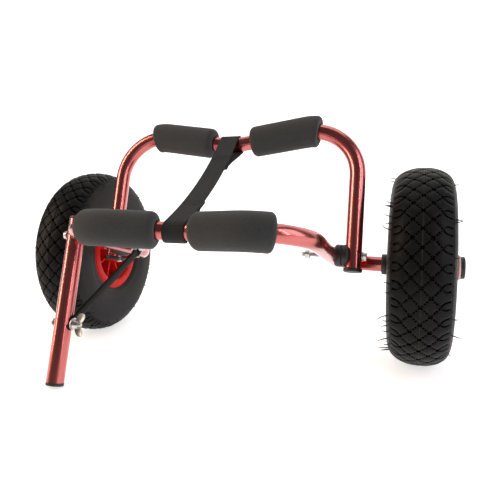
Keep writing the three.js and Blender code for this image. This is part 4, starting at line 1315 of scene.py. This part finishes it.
# A quarter of one pitch of the tread, flat: half a pitch long and half the tread wide.
def treadQuarter():
    t = treadSizes
    h, g = t["halfPitch"], t["crossing"]
    deselectAll()
    bpy.ops.mesh.primitive_plane_add(size=1)
    piece = started("tread_quarter")
    piece.scale = (h * mm, t["width"] * mm, 1)
    piece.location = (h * mm / 2, t["width"] * mm / 2, 0)
    bpy.ops.object.transform_apply(location=True, scale=True)
    hookRows = tuple(corner[1] for corner in hookCorners[1:-1])
    for v in (t["ridgeHalf"], t["lastCrossing"], t["grooveEnd"]) + hookRows + t["shoulderRows"]:
        cutLine(piece, (0, v), (0, 1))
    for s in (h / 2, t["shoulderColumn"]):
        cutLine(piece, (s, 0), (1, 0), t["lastCrossing"])
    halfShare = t["grooveHalf"] * t["sharesPerMm"]
    rim = t["blockRim"]
    cuts = sorted([-halfShare, halfShare, halfShare + rim, 1 - halfShare - rim] + t["tieBars"])
    for whole in (-1, 0, 1, 2):
        for cut in cuts:
            share = whole + cut
            if -0.52 < share < 1.02:
                cutLine(piece, (0, 2 * share * g), (-1 / h, 1 / g), high=t["lastCrossing"])
            if -0.02 < share < 1.52:
                cutLine(piece, (0, 2 * share * g), (1 / h, 1 / g), high=t["lastCrossing"])
    for start, end in zip(hookCorners, hookCorners[1:]):
        run = (Vector(end) - Vector(start)).normalized()
        for side in (-1, 1):
            middle = (Vector(start) + Vector(end)) / 2 + Vector((run.y, -run.x)) * side * t["grooveHalf"]
            cutLine(piece, middle, (run.y, -run.x), start[1], end[1])
    editPiece(piece, selectAll=True)
    bpy.ops.mesh.remove_doubles(threshold=0.03 * mm)
    bpy.ops.mesh.quads_convert_to_tris(quad_method="BEAUTY", ngon_method="BEAUTY")
    leaveEdit()
    cut = piece.data.attributes.new("cut", "INT", "FACE")
    for face in piece.data.polygons:
        cut.data[face.index].value = 1 if inGroove(face.center.x / mm, face.center.y / mm) else 0
    return piece


# The quarter, mirrored to a whole pitch, domed, and laid on the tyre's curve.
def treadPitch(curve):
    t = treadSizes
    quarter = treadQuarter()
    for vertex in quarter.data.vertices:
        s, v = vertex.co.x / mm, vertex.co.y / mm
        near = min(max(grooveDistance(s, v), 0) / t["domeReach"], 1)
        rise = -t["dome"] * (1 - near) ** 2
        if v < 0.1:
            rise += t["ridge"]
        vertex.co.z = rise * mm
    quarters = [quarter]
    for across, along in ((-1, 1), (1, -1), (-1, -1)):
        quarters.append(copyPiece(quarter, "tread_quarter", Matrix.Diagonal((across, along, 1, 1))))
    pitch = joinPieces(quarters)
    tidyMesh(pitch, 0.01)
    across = pitch.data.attributes.new("across", "FLOAT", "POINT")
    for vertex in pitch.data.vertices:
        s, v, rise = (c / mm for c in vertex.co)
        across.data[vertex.index].value = v
        radius, x = onCurve(curve, abs(v))
        radiusNext, xNext = onCurve(curve, abs(v) + 0.2)
        slope = Vector((xNext - x, radiusNext - radius)).normalized()
        radius += slope.x * rise
        x -= slope.y * rise
        turn = s / t["halfPitch"] * math.pi / t["pitches"]
        vertex.co = Vector((math.copysign(x, v), radius * math.sin(turn), radius * math.cos(turn))) * mm
    return pitch


def makeTyre():
    t = treadSizes
    curve = crownCurve()
    pitch = treadPitch(curve)
    turns = [turnedX(i * 360 / t["pitches"]) for i in range(1, t["pitches"])]
    copies = [pitch] + [copyPiece(pitch, "pitch", turn) for turn in turns]
    skin = spunPiece("skin", tyreProfile(curve), steps=wheelSizes["steps"])
    tyre = joinPieces([skin] + copies)
    tyre.name = "tyre"
    tidyMesh(tyre, 0.03)
    editPicked(tyre, "FACE", lambda face: tyre.data.attributes["cut"].data[face.index].value == 1)
    bpy.ops.mesh.extrude_region_shrink_fatten(TRANSFORM_OT_shrink_fatten={"value": -t["depth"] * mm})
    leaveEdit()
    # The cut faces' points, kept for the painted shade that darkens the tread's cuts.
    groove = tyre.data.attributes.new("groove", "FLOAT", "POINT")
    groove.data.foreach_set("value", [1.0 if vertex.select else 0.0 for vertex in tyre.data.vertices])
    return tyre


# Vent whiskers: (angle round the wheel, place across, length, bend)
whiskers = [
    (4, -38, 6.8, 0.3), (17, 41, 6.0, -0.5), (39, -40, 8.5, 0.8), (40.5, -41, 11.0, -0.6),
    (42, -40, 6.8, 0.2), (49, -41, 8.5, 0.6), (51, 40, 7.6, -0.6), (52.5, 41, 8.5, 0.5),
    (54, -40, 6.8, -0.4), (58, -41, 13.0, 1.1), (74, 40, 4.2, 0.3), (90, -40, 6.8, 0.5),
    (96, -41, 4.2, 0.2), (110, 40, 6.8, 0.4), (111, -41, 13.0, -0.9), (115, -40, 6.8, 0.4),
    (119, -41, 8.5, -0.3), (123, 41, 9.3, -0.5), (124, -40, 7.6, 0.6), (132, -41, 13.0, -0.8),
    (140, -40, 6.0, 0.3), (148, -41, 11.9, 0.7), (151, -40, 10.2, -0.5), (158, -41, 11.0, 0.4),
    (172, 40, 6.0, -0.2), (187, -41, 7.6, 0.3), (199, -40, 11.0, -0.8), (214, 41, 6.8, 0.5),
    (223, -41, 9.3, 0.7), (238, -40, 6.8, -0.3), (252, -41, 11.9, 0.9), (266, -40, 6.0, 0.2),
    (281, 40, 8.5, -0.6), (293, -41, 10.2, 0.4), (307, -40, 7.6, -0.7), (318, -41, 12.8, 0.8),
    (331, 41, 6.0, 0.2), (345, -40, 8.5, -0.4),
]


def makeWhiskers(lengthShare):
    deselectAll()
    root, tip, sunk, lean = 0.85, 0.4, 0.4, 80
    bpy.ops.mesh.primitive_cone_add(vertices=5, radius1=root * mm, radius2=tip * mm, depth=mm)
    whisker = started("whisker")
    editPicked(whisker, "EDGE", risesOver(whisker, 0.5))
    bpy.ops.mesh.subdivide(number_cuts=3)
    leaveEdit()
    pieces = []
    curve = crownCurve()
    for degrees, across, length, bend in whiskers:
        radius, x = onCurve(curve, abs(across))
        x = math.copysign(x, across)
        piece = copyPiece(whisker, "whisker_" + str(len(pieces)))
        for vertex in piece.data.vertices:
            k = vertex.co.z / mm + 0.5
            vertex.co.z = k * length * lengthShare * mm
            vertex.co.y += bend * length * lengthShare * k * k * 0.5 * mm
        outwards = Matrix.Rotation(math.copysign(math.radians(lean), across), 4, "Y")
        foot = movedBy(x - math.copysign(sunk, x), 0, radius - sunk)
        placePiece(piece, turnedX(degrees) @ foot @ outwards)
        pieces.append(piece)
    bpy.data.objects.remove(whisker)
    return joinPieces(pieces)


rimSizes = {"ribs": 8, "ribThickness": 3.0, "ribHalfWidth": 24.0, "ribFrom": 16.4, "ribTo": 48.0}


def makeRim():
    # Each side from the bead seat over the flange, down the barrel, across the web and out along the hub
    face = [(50.5, 31.4), (59.2, 31.5), (60.0, 32.1), (60.0, 32.7), (59.0, 33.6), (57.0, 34.2), (54.0, 34.6),
            (51.0, 34.6), (48.4, 34.2), (46.8, 33.4), (46.1, 32.4)]
    outerSide = face + [
        (45.8, 20.0), (45.4, 1.4), (44.8, -0.4), (43.2, -1.4), (41.0, -1.5), (20.6, -1.5), (18.8, -1.0),
        (17.9, 0.6), (17.5, 20.0), (17.3, 43.6), (16.9, 44.7), (16.1, 45.0)]
    innerSide = [(r, -x) for r, x in face] + [
        (45.8, -20.0), (45.4, -9.4), (44.8, -7.6), (43.2, -6.6), (41.0, -6.5), (20.6, -6.5), (18.8, -7.0),
        (17.9, -8.6), (17.5, -20.0), (17.3, -37.0), (16.9, -38.1), (16.1, -38.4)]
    profile = outerSide + [(13.9, 45.0), (13.9, -38.4)] + innerSide[::-1] + [outerSide[0]]
    rim = spunPiece("rim", profile, steps=96)
    s = rimSizes
    ribs = []
    for i in range(s["ribs"]):
        deselectAll()
        bpy.ops.mesh.primitive_cube_add(size=mm)
        rib = started("rib_" + str(i))
        rib.scale = (2 * s["ribHalfWidth"], s["ribThickness"], s["ribTo"] - s["ribFrom"])
        rib.location = (0, 0, (s["ribTo"] + s["ribFrom"]) / 2 * mm)
        bpy.ops.object.transform_apply(location=True, scale=True)
        bevelPiece(rib, 0.7, segments=3)
        placePiece(rib, turnedX(360 * (i + 0.5) / s["ribs"]))
        ribs.append(rib)
    combine(rim, joinPieces(ribs))
    return rim


bushingPlaces = {"outer": 27.3, "inner": -20.7}


def makeBushing():
    profile = [(10.6, 0), (10.9, -0.3), (13.3, -0.3), (13.55, 0), (13.55, 17.4), (13.9, 18.0), (15.9, 18.0),
               (16.3, 18.4), (16.3, 20.0), (15.9, 20.4), (10.9, 20.4), (10.6, 20.1), (10.6, 0)]
    return spunPiece("bushing", profile)


def makeValveCap():
    profile = [(0, 0), (3.9, 0), (4.1, 0.3)]
    grips, gripStep = 5, 1.3
    for i in range(grips):
        start = 1.0 + i * gripStep
        profile += [(4.35, start), (4.35, start + 0.6), (3.95, start + 0.8), (3.95, start + 1.1)]
    profile += [(4.2, 7.8), (3.9, 8.6), (3.0, 9.0), (0, 9.0)]
    return spunPiece("valve_cap", profile, steps=32)


def makeWheels():
    tyre = makeTyre()
    rim = makeRim()
    bushing = makeBushing()
    cap = makeValveCap()
    print("one wheel modelled")
    for label, place in (("left", wheelLeft), ("right", wheelRight)):
        body = "wheel_" + label
        tyreCopy = copyPiece(tyre, "tyre_" + label, place)
        finishPiece(tyreCopy, "tyre_rubber", body, angle=50)
        rimCopy = copyPiece(rim, "rim_" + label, place)
        finishPiece(rimCopy, "rim_plastic", body, angle=30)
        hairs = makeWhiskers(0.35 if label == "left" else 1)      # the left tyre's are worn short
        hairs.name = "tyre_whiskers_" + label
        placePiece(hairs, place)
        finishPiece(hairs, "tyre_rubber", body, angle=60, isExtra=True)
        outer = copyPiece(bushing, "bushing_outer_" + label, place @ movedBy(bushingPlaces["outer"], 0, 0))
        finishPiece(outer, "nylon", body)
        inside = place @ movedBy(bushingPlaces["inner"], 0, 0) @ facingBack
        inner = copyPiece(bushing, "bushing_inner_" + label, inside)
        finishPiece(inner, "nylon", body)
        low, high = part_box("valve_cap_" + label)
        middle = (low + high) / 2
        outside = low.x if label == "right" else high.x
        capPlace = Matrix.Translation((outside, middle.y, middle.z))
        if label == "left":
            capPlace = capPlace @ facingBack
        capCopy = copyPiece(cap, "valve_cap_" + label, capPlace)
        finishPiece(capCopy, "black_plastic", body)
        for name in ("inner_tube_" + label, "valve_stem_" + label):
            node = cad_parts[name]
            node.data.materials.clear()
            node.data.materials.append(tubeRubber)
    for spare in (tyre, rim, bushing, cap):
        bpy.data.objects.remove(spare)


makeWheels()
print("wheels made")


# The studio: seamless paper that sweeps up behind the cart, and soft boxes

def makeFloor():
    deselectAll()
    bpy.ops.mesh.primitive_plane_add(size=1)
    floor = started("studio_floor")
    floor.scale = (7, 5, 1)
    floor.location = (0, -0.2, -0.0004)
    bpy.ops.object.transform_apply(location=True, scale=True)
    editPicked(floor, "EDGE", lambda edge: all(floor.data.vertices[i].co.y > 2 for i in edge.vertices))
    bpy.ops.mesh.extrude_region_move(TRANSFORM_OT_translate={"value": (0, 0, 4)})
    leaveEdit()
    bevelPiece(floor, 1200, segments=16, angle=60)
    tidyMesh(floor)
    makeActive(floor)
    bpy.ops.object.shade_smooth()
    floor.data.materials.append(paper)


studio = {
    "world": 0.11,
    "lamps": [
        # name, place, size, power, colour, aimed at
        ("softbox_left", (-1.7, -0.55, 1.1), (0.9, 1.8), 6, "#FFFFFF", (0, 0, 0.15)),
        ("strip_left", (-1.5, -0.75, 0.9), (0.1, 1.6), 20, "#FFDDB8", (0, 0, 0.15)),
        ("softbox_right", (1.8, -0.25, 1.0), (0.8, 1.8), 12, "#F4F6FF", (0, 0, 0.15)),
        ("strip_right", (1.45, -0.85, 0.9), (0.1, 1.6), 7, "#FFF0F0", (0, 0, 0.15)),
        ("softbox_top", (0.0, 0.45, 2.2), (1.8, 1.0), 9, "#FFFFFF", (0, 0, 0)),
        ("backdrop_light", (0, 1.1, 1.6), (3.0, 0.8), 14, "#FFFFFF", (0, 2.6, 0.6)),
    ],
}


def makeLights():
    world = bpy.data.worlds.new("studio")
    bpy.context.scene.world = world
    world.use_nodes = True
    tree = world.node_tree
    back = tree.nodes["Background"]
    back.inputs[0].default_value = (1, 1, 1, 1)
    # The room is dim, but past the paper's edges the camera sees plain white.
    path = addNode(tree, "LightPath").outputs["Is Camera Ray"]
    tree.links.new(ranged(tree, path, studio["world"], 1.0), back.inputs[1])
    for name, place, (width, height), power, colour, aim in studio["lamps"]:
        deselectAll()
        bpy.ops.object.light_add(type="AREA", location=place)
        lamp = bpy.context.object
        lamp.name = name
        lamp.data.shape = "RECTANGLE"
        lamp.data.size = width
        lamp.data.size_y = height
        lamp.data.energy = power
        lamp.data.color = hexToLinear(colour)[:3]
        lamp.rotation_euler = (Vector(aim) - Vector(place)).to_track_quat("-Z", "Y").to_euler()


makeFloor()
makeLights()
bpy.context.scene.view_settings.view_transform = "Standard"
print("studio lit")
